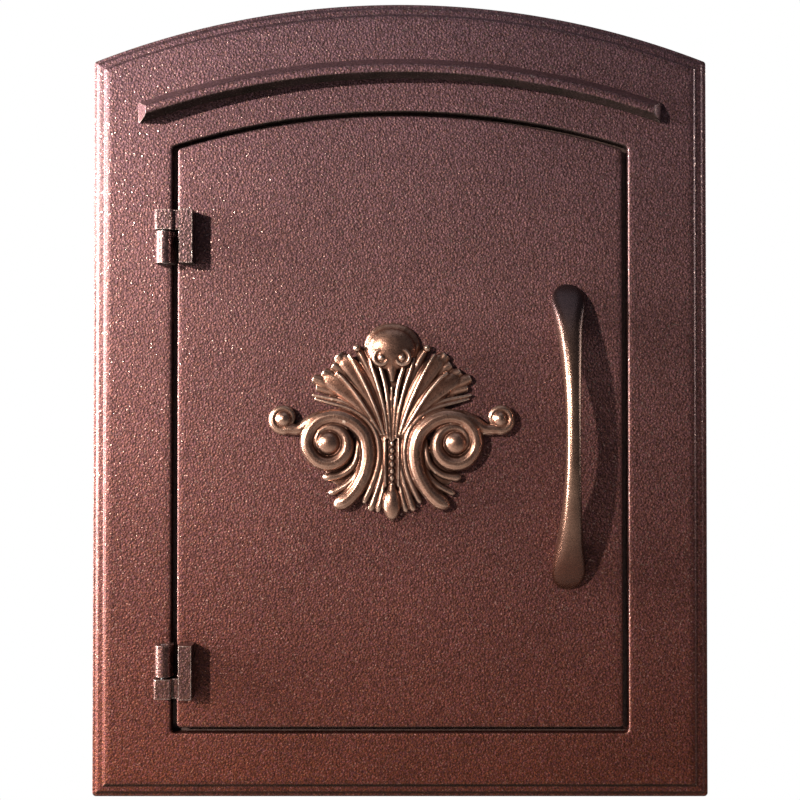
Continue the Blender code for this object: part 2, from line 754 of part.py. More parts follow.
def make_catch(steel, zinc, plastic, magnet, screw):
    """Magnetic catch on a joggled bracket behind the stop frame, and its strike on the door."""
    leg = STOP_BACK + GAP
    step = CATCH_FRONT + 0.0146
    thick = STOP_SHEET
    riser = CATCH_X + 0.0112
    outline = [
        (0.1430, leg), (riser, leg), (riser, step), (CATCH_X - 0.0130, step),
        (CATCH_X - 0.0130, step + thick), (riser + thick, step + thick), (riser + thick, leg + thick),
        (0.1430, leg + thick),
    ]
    bracket = prism("catch_bracket", outline, CATCH_Z - 0.022, CATCH_Z + 0.022, zinc)
    holes = blind_holes(leg + 0.004, stop_screw_spots()[:2], 0.010, PILOT_SMALL)
    holes += blind_holes(step + 0.004, [(CATCH_X, CATCH_Z)], 0.010, PILOT_SMALL)
    drill(bracket, holes)
    low = (CATCH_X - 0.0095, CATCH_FRONT, CATCH_Z - 0.017)
    high = (CATCH_X + 0.0095, step - GAP, CATCH_Z + 0.017)
    housing = box("catch_housing", low, high, plastic, bevel=0.0006)
    pocket_low = (CATCH_X - 0.0075, CATCH_FRONT - 0.002, CATCH_Z - 0.015)
    pocket_high = (CATCH_X + 0.0075, CATCH_FRONT + 0.0090, CATCH_Z + 0.015)
    pocket = box("catch_pocket", pocket_low, pocket_high, None)
    move_to_cutters(pocket)
    boolean(housing, pocket, "DIFFERENCE")
    drill(housing, blind_holes(step, [(CATCH_X, CATCH_Z)], 0.0047, PILOT_SMALL))
    for label, sign in (("left", -1), ("right", 1)):
        edges = sorted((CATCH_X + sign * 0.0059, CATCH_X + sign * 0.0071))
        low = (edges[0], CATCH_FRONT - 0.0006, CATCH_Z - 0.0144)
        high = (edges[1], CATCH_FRONT + 0.0086, CATCH_Z + 0.0144)
        box("pole_plate_" + label, low, high, steel)
    low = (CATCH_X - 0.0056, CATCH_FRONT + 0.0004, CATCH_Z - 0.0144)
    high = (CATCH_X + 0.0056, CATCH_FRONT + 0.0086, CATCH_Z + 0.0144)
    box("catch_magnet", low, high, magnet)
    place_turned("catch_screw", screw, steel, (CATCH_X, step + thick + GAP, CATCH_Z), (0, 1, 0))
    back = DOOR_BACK + GAP + 0.0012
    low = (CATCH_X - 0.0085, DOOR_BACK + GAP, CATCH_Z - 0.032)
    high = (CATCH_X + 0.0085, back, CATCH_Z + 0.032)
    strike = box("strike_plate", low, high, zinc)
    drill(strike, blind_holes(back + 0.002, strike_screw_spots(), 0.008, PILOT_SMALL))
    for number, (x, z) in enumerate(strike_screw_spots(), 1):
        place_turned(f"strike_screw_{number}", screw, steel, (x, back + GAP, z), (0, 1, 0))


def strike_screw_spots():
    return [(CATCH_X, CATCH_Z + step) for step in (-0.0265, 0.0265)]


def handle_screw_spots():
    reach = HANDLE_HALF_LENGTH * HANDLE_SCREW_T
    return [(HANDLE_X, HANDLE_Z - reach), (HANDLE_X, HANDLE_Z + reach)]


def place_row(label, mesh, finish, y, spots):
    for number, (x, z) in enumerate(spots, 1):
        place_turned(f"{label}_{number}", mesh, finish, (x, y, z), (0, 1, 0))


def main():
    clear_scene()
    make_collection(PARTS)
    make_collection(CUTTERS)
    coat = make_finish("hammered_coat", (0.120, 0.050, 0.045), 0.42, 0.6)
    copper = make_finish("antique_copper", (0.30, 0.15, 0.09), 0.32, 0.9)
    sheet = make_finish("box_paint", (0.060, 0.032, 0.028), 0.55, 0.2)
    zinc = make_finish("zinc_plate", (0.50, 0.50, 0.48), 0.40, 1.0)
    steel = make_finish("steel", (0.42, 0.42, 0.43), 0.35, 1.0)
    rubber = make_finish("seal_rubber", (0.020, 0.020, 0.020), 0.85, 0.0)
    plastic = make_finish("catch_plastic", (0.055, 0.040, 0.030), 0.50, 0.0)
    magnet = make_finish("magnet_ferrite", (0.030, 0.030, 0.032), 0.60, 0.3)

    flush_small = flush_screw("flush_screw_small", FLUSH_SMALL, 0.0105)
    flush_medium = flush_screw("flush_screw_medium", FLUSH_MEDIUM, 0.0130)
    pan_small = pan_screw("pan_screw_small", PAN_SMALL, 0.0060)
    pan_long = pan_screw("pan_screw_long", PAN_SMALL, 0.0095)
    pan_medium = pan_screw("pan_screw_medium", PAN_MEDIUM, 0.0060)
    pan_large = pan_screw("pan_screw_large", PAN_LARGE, 0.0150)

    faceplate = make_faceplate(coat)
    make_hood(coat)
    door = make_door(coat)
    flush_spots = make_hinges(coat, steel, flush_small, flush_medium)
    make_handle(coat)
    make_emblem(copper)
    shell = make_box_shell(sheet)
    panel = make_back_panel(sheet)
    floor = make_floor_pan(sheet)
    stop = make_stop_frame(sheet)
    make_door_seal(rubber)
    make_catch(steel, zinc, plastic, magnet, pan_small)

    hood_screw_z = hood_level(HOOD_SCREW_LEVEL, HOOD_SCREW_X)
    hood_spots = [(side * HOOD_SCREW_X, hood_screw_z) for side in (-1, 1)]
    place_row("hood_screw", flush_medium, steel, PLATE_BACK - HEAD_SINK, hood_spots)
    plate_flush = [(x, z, shank) for x, z, shank, owner in flush_spots if owner == "faceplate"]
    plate_flush += [(x, z, FLUSH_MEDIUM) for x, z in hood_spots]
    door_flush = [(x, z, shank) for x, z, shank, owner in flush_spots if owner == "door_panel"]

    plate_holes = flush_holes(PLATE_BACK, plate_flush)
    plate_holes += blind_holes(PLATE_BACK, flange_screw_spots(), BLIND_DEPTH, PILOT_MEDIUM)
    plate_holes += blind_holes(PLATE_BACK, stop_screw_spots(), BLIND_DEPTH, PILOT_SMALL)
    drill(faceplate, plate_holes)

    sheet_back = FLANGE_FRONT + SHEET
    flange_holes = blind_holes(sheet_back + 0.002, flange_screw_spots(), 0.008, PAN_MEDIUM + 0.0004)
    rear_rivet, *floor_rivets = rivet_spots()
    rear_holes = [through_sheet(sign, *rear_rivet, RIVET_HOLE) for sign in (-1, 1)]
    floor_holes = [through_sheet(sign, y, z, RIVET_HOLE) for sign in (-1, 1) for y, z in floor_rivets]
    drill(shell, flange_holes[:6] + rear_holes + floor_holes)
    drill(floor, flange_holes[6:] + drain_holes() + floor_holes)
    drill(panel, blind_holes(0.004, wall_hole_spots(), 0.010, WALL_HOLE) + rear_holes)
    place_row("flange_screw", pan_medium, steel, sheet_back + GAP, flange_screw_spots())

    drill(stop, blind_holes(STOP_BACK + 0.002, stop_screw_spots(), 0.008, PILOT_SMALL))
    bracket_back = STOP_BACK + GAP + STOP_SHEET
    place_row("catch_bracket_screw", pan_small, steel, bracket_back + GAP, stop_screw_spots()[:2])
    place_row("stop_screw", pan_small, steel, STOP_BACK + GAP, stop_screw_spots()[2:])

    door_holes = flush_holes(DOOR_BACK, door_flush)
    door_holes += blind_holes(DOOR_BACK, handle_screw_spots(), DOOR_THICKNESS + 0.01, PAN_LARGE + 0.0004)
    door_holes += blind_holes(DOOR_BACK, emblem_screw_spots(), DOOR_THICKNESS + 0.01, PILOT_SMALL)
    door_holes += blind_holes(DOOR_BACK, strike_screw_spots(), 0.0048, PILOT_SMALL)
    drill(door, door_holes)
    washer = turned_mesh("handle_washer_mesh", [
        (0.0029, 0.0010), (0.0055, 0.0010), (0.0055, 0.0), (0.0029, 0.0), (0.0029, 0.0010),
    ])
    place_row("handle_washer", washer, zinc, DOOR_BACK + GAP, handle_screw_spots())
    place_row("handle_screw", pan_large, steel, DOOR_BACK + 0.0010 + 2 * GAP, handle_screw_spots())
    place_row("emblem_screw", pan_long, steel, DOOR_BACK + GAP, emblem_screw_spots())

    rivet = turned_mesh("rivet_mesh", [
        (0.0, 0.0011), (0.0017, 0.0009), (0.0031, 0.0), (0.0016, 0.0), (0.0016, -0.0033),
        (0.0023, -0.0037), (0.0021, -0.0048), (0.0, -0.0052),
    ])
    outside = OPENING.half_width + SHELL_OFFSET + GAP
    for label, sign in (("left", -1), ("right", 1)):
        for number, (y, z) in enumerate(rivet_spots(), 1):
            place_turned(f"rivet_{label}_{number}", rivet, steel, (sign * outside, y, z), (sign, 0, 0))


main()
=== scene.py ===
"""Looks of the wall mounted mailbox: hammered copper-brown castings, an antique copper
scroll-and-leaf emblem, and a painted steel box with a magnetic catch."""

import json
import math

import bmesh
import bpy
from mathutils import Matrix, Vector


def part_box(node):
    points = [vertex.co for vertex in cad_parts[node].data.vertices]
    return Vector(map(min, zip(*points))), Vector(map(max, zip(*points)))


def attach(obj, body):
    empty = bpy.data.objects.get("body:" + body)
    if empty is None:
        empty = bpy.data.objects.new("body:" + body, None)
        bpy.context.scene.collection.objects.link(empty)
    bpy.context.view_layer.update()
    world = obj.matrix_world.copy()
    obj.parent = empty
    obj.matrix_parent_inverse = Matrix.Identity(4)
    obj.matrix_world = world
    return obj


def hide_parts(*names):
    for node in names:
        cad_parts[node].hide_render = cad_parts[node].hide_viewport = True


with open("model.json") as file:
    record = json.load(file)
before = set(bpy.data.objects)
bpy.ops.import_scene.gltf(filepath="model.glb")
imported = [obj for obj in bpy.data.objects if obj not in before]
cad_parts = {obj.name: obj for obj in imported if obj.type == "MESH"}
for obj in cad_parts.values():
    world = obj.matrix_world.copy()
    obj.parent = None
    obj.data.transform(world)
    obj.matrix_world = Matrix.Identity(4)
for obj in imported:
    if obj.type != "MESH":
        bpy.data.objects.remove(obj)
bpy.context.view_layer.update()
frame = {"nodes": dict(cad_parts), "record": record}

plate_low, plate_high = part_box("faceplate")
door_low, door_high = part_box("door_panel")
hood_low, hood_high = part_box("drip_hood")
handle_low, handle_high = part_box("handle")
_, emblem_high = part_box("emblem")

# Lengths are in metres: X across, Y towards the wall, Z up.
MM = 0.001
QUARTER_TURN = math.pi / 2
PLATE_FRONT = plate_low.y
PLATE_BACK = plate_high.y
DOOR_BACK = door_high.y

# Radius of each arched top, and of the rounded corners.
PLATE_ARCH, PLATE_CORNER = 0.4940, 0.0022
OPENING_ARCH, OPENING_CORNER = 0.4440, 0.0028
DOOR_ARCH, DOOR_CORNER = 0.4415, 0.0024
LEAST_CORNER = 0.0003
ARCH_STEPS = 96
CORNER_STEPS = 6

OPENING_HALF_WIDTH = 0.1334
OPENING_SILL = -0.1940
OPENING_CROWN = 0.1689

FLANGE_SCREWS = tuple(f"flange_screw_{n}" for n in range(1, 9))
SHEET_SCREWS = ("stop_screw_1", "stop_screw_2", "catch_bracket_screw_1", "catch_bracket_screw_2")
FLANGE_SCREW_RADIUS = 0.0022
SHEET_SCREW_RADIUS = 0.0018
SCREW_HOLE_DEPTH = 0.0052


# ---------------------------------------------------------------- shapes

def arc(centre, radius, start, end, steps):
    """Points along an arc, both ends included."""
    angles = [start + (end - start) * i / steps for i in range(steps + 1)]
    return [(centre[0] + radius * math.cos(a), centre[1] + radius * math.sin(a)) for a in angles]


def arched_outline(half_width, bottom, apex, radius, corner, inset=0.0):
    """X-Z outline of a panel with an arched top, drawn in by inset all round."""
    arch_centre = apex - radius
    corner = max(corner - inset, LEAST_CORNER)
    side = half_width - inset - corner
    reach = radius - inset - corner
    shoulder = arch_centre + math.sqrt(reach**2 - side**2)
    lean = math.atan2(shoulder - arch_centre, side)
    foot = bottom + inset + corner
    outline = arc((side, shoulder), corner, 0.0, lean, CORNER_STEPS)
    outline += arc((0.0, arch_centre), radius - inset, lean, math.pi - lean, ARCH_STEPS)[1:-1]
    outline += arc((-side, shoulder), corner, math.pi - lean, math.pi, CORNER_STEPS)
    outline += arc((-side, foot), corner, math.pi, 3 * QUARTER_TURN, CORNER_STEPS)
    outline += arc((side, foot), corner, 3 * QUARTER_TURN, 4 * QUARTER_TURN, CORNER_STEPS)
    return outline


def plate_outline(inset):
    return arched_outline(
        plate_high.x, plate_low.z, plate_high.z, PLATE_ARCH, PLATE_CORNER, inset
    )


def opening_outline(inset):
    return arched_outline(
        OPENING_HALF_WIDTH, OPENING_SILL, OPENING_CROWN, OPENING_ARCH, OPENING_CORNER, inset
    )


def door_outline(inset):
    return arched_outline(door_high.x, door_low.z, door_high.z, DOOR_ARCH, DOOR_CORNER, inset)


def at_depth(outline, y):
    """An X-Z outline stood up at depth y."""
    return [(x, y, z) for x, z in outline]


def rim_edges(loop):
    """The edges between each vertex of a loop and the next."""
    edges = []
    for vert, following in zip(loop, loop[1:] + loop[:1]):
        edges += [edge for edge in vert.link_edges if edge.other_vert(vert) is following]
    return edges


def partner(vert, fresh):
    """The freshly pulled vertex that an edge joins to this one."""
    return next(edge.other_vert(vert) for edge in vert.link_edges if edge.other_vert(vert) in fresh)


def steady_order(bm):
    """Sort edges and faces by their vertices, so that every run lists them the same way."""
    bm.verts.index_update()
    count = len(bm.verts)

    def place(part):
        indices = [vert.index for vert in part.verts]
        return max(indices) * count + min(indices)

    for parts in (bm.edges, bm.faces):
        parts.sort(key=place)


def loft(rings, capped):
    """Rings of equal count joined in turn: capped at both ends, or run back to the first ring."""
    bm = bmesh.new()
    made = bmesh.ops.create_circle(bm, segments=len(rings[0]), radius=1.0, cap_ends=capped)
    first = loop = made["verts"]
    for vert, point in zip(loop, rings[0]):
        vert.co = point
    for ring in rings[1:]:
        pulled = bmesh.ops.extrude_edge_only(bm, edges=rim_edges(loop))["geom"]
        fresh = {part for part in pulled if isinstance(part, bmesh.types.BMVert)}
        loop = [partner(vert, fresh) for vert in loop]
        for vert, point in zip(loop, ring):
            vert.co = point
    if capped:
        bmesh.ops.contextual_create(bm, geom=rim_edges(loop))
    else:
        bmesh.ops.bridge_loops(bm, edges=rim_edges(loop) + rim_edges(first))
    steady_order(bm)
    return bm


def add_object(name, data):
    """A new object in the scene, round a mesh, curve, lamp or camera."""
    thing = bpy.data.objects.new(name, data)
    bpy.context.scene.collection.objects.link(thing)
    return thing


def bake_mesh(bm, name):
    """Turn a bmesh into a mesh and let the bmesh go."""
    mesh = bpy.data.meshes.new(name)
    bm.to_mesh(mesh)
    bm.free()
    return mesh


def shade(mesh, smooth_angle):
    """Smooth shading, with edges sharper than the angle in degrees kept crisp."""
    mesh.shade_smooth()
    mesh.set_sharp_from_angle(angle=math.radians(smooth_angle))


def finish_piece(name, bm, finish, body, stands_for, smooth_angle=35):
    """Turn a bmesh into a piece that rides on a body and stands for CAD nodes."""
    bmesh.ops.recalc_face_normals(bm, faces=bm.faces)
    mesh = bake_mesh(bm, name)
    shade(mesh, smooth_angle)
    mesh.materials.append(finish)
    piece = add_object(name, mesh)
    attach(piece, body)
    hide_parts(*stands_for)
    return piece


def body_of_node(node):
    bodies = frame["record"]["behaviour"]["bodies"]
    return next(body for body, nodes in bodies.items() if node in nodes)


def settle(piece):
    """Apply a piece's modifiers to its mesh."""
    bpy.context.view_layer.update()
    graph = bpy.context.evaluated_depsgraph_get()
    mesh = bpy.data.meshes.new_from_object(piece.evaluated_get(graph))
    piece.modifiers.clear()
    piece.data = mesh


def soften(piece, width):
    """Round a piece's sharp edges a little."""
    edges = piece.modifiers.new("soft_edges", "BEVEL")
    edges.width = width
    edges.segments = 2
    edges.limit_method = "ANGLE"
    edges.angle_limit = math.radians(40)
    edges.harden_normals = False


def drill(piece, spots, y_from, y_to):
    """Cut round holes along Y at (x, z, radius) into a piece's mesh."""
    bm = bmesh.new()
    along_y = Matrix.Rotation(QUARTER_TURN, 4, "X")
    for x, z, radius in spots:
        bmesh.ops.create_cone(
            bm, cap_ends=True, segments=24, radius1=radius, radius2=radius,
            depth=abs(y_to - y_from),
            matrix=Matrix.Translation((x, (y_from + y_to) / 2, z)) @ along_y,
        )
    drill_bits = add_object(piece.name + "_drill", bake_mesh(bm, piece.name + "_drill"))
    cut = piece.modifiers.new("holes", "BOOLEAN")
    cut.object = drill_bits
    settle(piece)
    bpy.data.objects.remove(drill_bits)


def spot_of(node, radius):
    """Where a screw stands, as (x, z, radius) for a hole of that radius."""
    low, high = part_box(node)
    return ((low.x + high.x) / 2, (low.z + high.z) / 2, radius)


# ---------------------------------------------------------------- node helpers

def new_material(name):
    finish = bpy.data.materials.new(name)
    finish.use_nodes = True
    return finish, finish.node_tree, finish.node_tree.nodes["Principled BSDF"]


def add_node(tree, kind, **settings):
    node = tree.nodes.new(kind)
    for key, value in settings.items():
        setattr(node, key, value)
    return node


def link(tree, output, socket):
    tree.links.new(output, socket)


def feed(tree, value, socket):
    """Give a socket a number, a colour, or another node's output."""
    if isinstance(value, (int, float)):
        socket.default_value = value
    elif isinstance(value, tuple):
        socket.default_value = (*value, 1.0)
    else:
        link(tree, value, socket)


def math_node(tree, operation, *values):
    node = add_node(tree, "ShaderNodeMath", operation=operation)
    for socket, value in zip(node.inputs, values):
        feed(tree, value, socket)
    return node.outputs[0]


def product(tree, *values):
    """The values multiplied together."""
    result = values[0]
    for value in values[1:]:
        result = math_node(tree, "MULTIPLY", result, value)
    return result


def mix_colour(tree, factor, first, second):
    node = add_node(tree, "ShaderNodeMix", data_type="RGBA", clamp_factor=True)
    feed(tree, factor, node.inputs["Factor"])
    feed(tree, first, node.inputs[6])
    feed(tree, second, node.inputs[7])
    return node.outputs[2]


def scaled(tree, colour, gain):
    """A colour made brighter or darker by a value."""
    node = add_node(tree, "ShaderNodeVectorMath", operation="SCALE")
    link(tree, colour, node.inputs[0])
    link(tree, gain, node.inputs["Scale"])
    return node.outputs[0]


def remap(tree, value, low, high, to_low=0.0, to_high=1.0):
    node = add_node(tree, "ShaderNodeMapRange")
    node.inputs["From Min"].default_value = low
    node.inputs["From Max"].default_value = high
    node.inputs["To Min"].default_value = to_low
    node.inputs["To Max"].default_value = to_high
    link(tree, value, node.inputs["Value"])
    return node.outputs["Result"]


def object_place(tree):
    return add_node(tree, "ShaderNodeTexCoord").outputs["Object"]


def surface_normal(tree):
    return add_node(tree, "ShaderNodeNewGeometry").outputs["Normal"]


def up_part(tree, vector):
    """The Z of a place or a normal."""
    parts = add_node(tree, "ShaderNodeSeparateXYZ")
    link(tree, vector, parts.inputs[0])
    return parts.outputs["Z"]


def height_share(tree, low, high):
    """0 below one height and 1 above another."""
    return remap(tree, up_part(tree, object_place(tree)), low, high)


def noise(tree, coordinates, scale, detail=3.0, rough=0.5):
    node = add_node(tree, "ShaderNodeTexNoise")
    feed(tree, scale, node.inputs["Scale"])
    node.inputs["Detail"].default_value = detail
    node.inputs["Roughness"].default_value = rough
    link(tree, coordinates, node.inputs["Vector"])
    return node.outputs["Fac"]


def bump(tree, shader, height, distance):
    node = add_node(tree, "ShaderNodeBump")
    node.inputs["Distance"].default_value = distance
    link(tree, height, node.inputs["Height"])
    link(tree, node.outputs["Normal"], shader.inputs["Normal"])


def new_group(name, inputs, outputs):
    """An empty shared effect, with (name, usual value) inputs and named outputs."""
    group = bpy.data.node_groups.new(name, "ShaderNodeTree")
    for label, default in inputs:
        socket = group.interface.new_socket(label, in_out="INPUT", socket_type="NodeSocketFloat")
        socket.default_value = default
    for label in outputs:
        group.interface.new_socket(label, in_out="OUTPUT", socket_type="NodeSocketFloat")
    return group, group.nodes.new("NodeGroupInput"), group.nodes.new("NodeGroupOutput")


def place_group(tree, group, **values):
    """A shared effect in a material, with its own values."""
    node = add_node(tree, "ShaderNodeGroup", node_tree=group)
    for label, value in values.items():
        node.inputs[label.replace("_", " ")].default_value = value
    return node


# ---------------------------------------------------------------- shared effects

def make_powder_grain():
    """Pebbled powder coat: pebble height, a random value for each grain, its hue, and slow
    mottling."""
    group, given, result = new_group(
        "powder_grain",
        [("Pebbles per metre", 800.0), ("Grains per metre", 1350.0)],
        ["Height", "Grain", "Hue", "Mottle"],
    )
    dome_share = 0.70
    pebbles = given.outputs["Pebbles per metre"]
    place = object_place(group)
    waves = noise(group, place, pebbles, 2.0, 0.6)
    domes = add_node(group, "ShaderNodeTexVoronoi", feature="SMOOTH_F1")
    domes.inputs["Smoothness"].default_value = 0.6
    cells = add_node(group, "ShaderNodeTexVoronoi", feature="F1")
    for node, scale in ((domes, pebbles), (cells, given.outputs["Grains per metre"])):
        link(group, place, node.inputs["Vector"])
        link(group, scale, node.inputs["Scale"])
    blend = add_node(group, "ShaderNodeMix", data_type="FLOAT")
    blend.inputs["Factor"].default_value = dome_share
    link(group, waves, blend.inputs["A"])
    link(group, remap(group, domes.outputs["Distance"], 0.15, 0.75, 1.0, 0.0), blend.inputs["B"])
    picked = add_node(group, "ShaderNodeSeparateColor")
    link(group, cells.outputs["Color"], picked.inputs["Color"])
    link(group, blend.outputs["Result"], result.inputs["Height"])
    link(group, picked.outputs[0], result.inputs["Grain"])
    link(group, picked.outputs[1], result.inputs["Hue"])
    link(group, noise(group, place, 9.0, 4.0, 0.6), result.inputs["Mottle"])
    return group


def make_outer_edges():
    """Mask of the outer edges, broken up by a fine grain: worn edges, and on the castings also a
    painted highlight.
    """
    group, given, result = new_group("outer_edges", [("Radius", 0.0008), ("Amount", 1.0)], ["Mask"])
    soft = add_node(group, "ShaderNodeBevel", samples=4)
    link(group, given.outputs["Radius"], soft.inputs["Radius"])
    facing = add_node(group, "ShaderNodeVectorMath", operation="DOT_PRODUCT")
    link(group, soft.outputs["Normal"], facing.inputs[0])
    link(group, surface_normal(group), facing.inputs[1])
    edge = remap(group, facing.outputs["Value"], 0.985, 0.80)
    patches = noise(group, object_place(group), 260.0, 4.0, 0.65)
    patchy = remap(group, patches, 0.35, 0.65, 0.25, 1.0)
    link(group, product(group, edge, patchy, given.outputs["Amount"]), result.inputs["Mask"])
    return group


def make_underside_shade_mask():
    """Mask of faces that look down, for painted shade under ledges and on undersides."""
    group, given, result = new_group("underside_shade_mask", [("Reach", 0.75)], ["Mask"])
    down = remap(group, up_part(group, surface_normal(group)), -0.15, -0.65)
    patches = noise(group, object_place(group), 60.0, 4.0, 0.6)
    patchy = remap(group, patches, 0.3, 0.7, 0.75, 1.0)
    link(group, product(group, down, patchy, given.outputs["Reach"]), result.inputs["Mask"])
    return group


def make_brushing():
    """Fine drawn lines and small blotches of bare metal."""
    group, given, result = new_group(
        "brushing", [("Lines per metre", 2500.0)], ["Height", "Blotch"]
    )
    line_stretch = (1.0, 1.0, 0.06)
    place = object_place(group)
    stretch = add_node(group, "ShaderNodeVectorMath", operation="MULTIPLY")
    stretch.inputs[1].default_value = line_stretch
    link(group, place, stretch.inputs[0])
    lines = noise(group, stretch.outputs[0], given.outputs["Lines per metre"], 2.0)
    link(group, lines, result.inputs["Height"])
    link(group, noise(group, place, 120.0, 5.0, 0.7), result.inputs["Blotch"])
    return group


powder_grain = make_powder_grain()
outer_edges = make_outer_edges()
underside_shade_mask = make_underside_shade_mask()
brushing = make_brushing()


# ---------------------------------------------------------------- finishes

# Powder coat: its colour at three heights, redder at the foot and mauve at the crown as painted
# reflection of ground and sky, its grains, painted glints, edges lightened by wear and a painted
# highlight, and painted shade on faces that look down.
COAT_FOOT_PAINTED_GROUND_REFLECTION = (0.088, 0.0195, 0.0105)
COAT_MIDDLE = (0.120, 0.0540, 0.0530)
COAT_CROWN_PAINTED_SKY_REFLECTION = (0.104, 0.055, 0.064)
COAT_GREY = (0.135, 0.110, 0.098)
WARM_GRAIN = (0.110, 0.044, 0.017)
COOL_GRAIN = (0.080, 0.036, 0.055)
PAINTED_GLINT = (0.54, 0.39, 0.31)
WORN_EDGE_AND_PAINTED_HIGHLIGHT = (0.58, 0.47, 0.41)
PAINTED_SHADE = (0.010, 0.008, 0.005)
COAT_FOOT_Z, COAT_MIDDLE_Z = -0.22, 0.06
FEW_GLINTS_Z, ALL_GLINTS_Z = -0.20, 0.04
COAT_METALLIC = 0.92

# Handle: the coat on its feet, redder below and mauve above as painted reflection, and the copper
# its middle is rubbed down to, partly a painted sheen.
HANDLE_LOWER_PAINTED_GROUND_REFLECTION = (0.080, 0.026, 0.014)
HANDLE_UPPER_PAINTED_SKY_REFLECTION = (0.052, 0.029, 0.029)
RUBBED_COPPER_AND_PAINTED_SHEEN = (0.27, 0.155, 0.108)
RUBBED_AND_SHEEN_HALF, COATED_HALF = 0.030, 0.075

# Antique copper.
COPPER_DARK = (0.17, 0.076, 0.051)
COPPER_LIGHT = (0.29, 0.141, 0.095)
COPPER_CREST_AND_PAINTED_HIGHLIGHT = (0.72, 0.51, 0.40)
PATINA = (0.050, 0.020, 0.014)

# Paint on the sheet steel.
PAINT_DARK = (0.046, 0.024, 0.019)
PAINT_LIGHT = (0.074, 0.041, 0.034)
PAINT_WORN = (0.20, 0.13, 0.10)


def grain_gain(tree, grain, spread):
    """How bright each grain of the coat is."""
    plain = remap(tree, grain.outputs["Grain"], 0.0, 1.0, 1.0 - spread, 1.0 + spread)
    pebble = remap(tree, grain.outputs["Height"], 0.25, 0.75, 0.86, 1.14)
    mottle = remap(tree, grain.outputs["Mottle"], 0.3, 0.7, 0.88, 1.12)
    return product(tree, plain, pebble, mottle)


def add_lacquer(shader, weight, roughness):
    shader.inputs["Coat Weight"].default_value = weight
    shader.inputs["Coat Roughness"].default_value = roughness


def make_hammered_coat(name, relief, roughness, spread, coat, grey=0.0):
    """Copper-brown metallic powder coat, mauve towards the top and redder below as painted
    reflection of sky and ground, with painted glints, a painted edge highlight and painted shade on
    faces that look down.
    """
    finish, tree, shader = new_material(name)
    grain = place_group(tree, powder_grain, Pebbles_per_metre=800.0, Grains_per_metre=1350.0)
    hue = grain.outputs["Hue"]
    # Painted reflection: redder towards the foot for the ground, mauve towards the crown for the
    # sky.
    lower_rise = height_share(tree, COAT_FOOT_Z, COAT_MIDDLE_Z)
    upper_rise = height_share(tree, COAT_MIDDLE_Z, plate_high.z)
    base = mix_colour(tree, lower_rise, COAT_FOOT_PAINTED_GROUND_REFLECTION, COAT_MIDDLE)
    base = mix_colour(tree, upper_rise, base, COAT_CROWN_PAINTED_SKY_REFLECTION)
    base = mix_colour(tree, grey, base, COAT_GREY)
    base = mix_colour(tree, remap(tree, hue, 0.5, 1.0, 0.0, 0.40), base, WARM_GRAIN)
    base = mix_colour(tree, remap(tree, hue, 0.0, 0.5, 0.35, 0.0), base, COOL_GRAIN)
    base = scaled(tree, base, grain_gain(tree, grain, spread))
    # Painted glints: the brightest flake grains are lightened towards a pale glint colour, fewer
    # towards the bottom; these grains are also smoother.
    painted_glint_flakes = remap(tree, grain.outputs["Grain"], 0.940, 0.970, 0.0, 0.42)
    glint_rise = height_share(tree, FEW_GLINTS_Z, ALL_GLINTS_Z)
    painted_glint_flakes = product(tree, painted_glint_flakes, remap(tree, glint_rise, 0.0, 1.0, 0.22, 1.0))
    base = mix_colour(tree, painted_glint_flakes, base, PAINTED_GLINT)
    # Edges lightened: partly wear, partly a painted highlight.
    edge_mask = place_group(tree, outer_edges, Radius=0.0012, Amount=0.85).outputs["Mask"]
    base = mix_colour(tree, edge_mask, base, WORN_EDGE_AND_PAINTED_HIGHLIGHT)
    # Painted shade: faces that look down are darkened nearly to black.
    painted_underside_shade = place_group(tree, underside_shade_mask, Reach=0.95).outputs["Mask"]
    base = mix_colour(tree, painted_underside_shade, base, PAINTED_SHADE)
    rough = remap(tree, hue, 0.0, 1.0, roughness + 0.08, roughness - 0.08)
    rough = math_node(tree, "SUBTRACT", rough, product(tree, painted_glint_flakes, 0.80))
    rough = math_node(tree, "ADD", rough, product(tree, painted_underside_shade, 0.35))
    add_lacquer(shader, coat, 0.24)
    link(tree, base, shader.inputs["Base Color"])
    link(tree, rough, shader.inputs["Roughness"])
    link(tree, remap(tree, painted_underside_shade, 0.0, 0.6, coat, 0.0), shader.inputs["Coat Weight"])
    shader.inputs["Metallic"].default_value = COAT_METALLIC
    bump(tree, shader, grain.outputs["Height"], relief)
    return finish


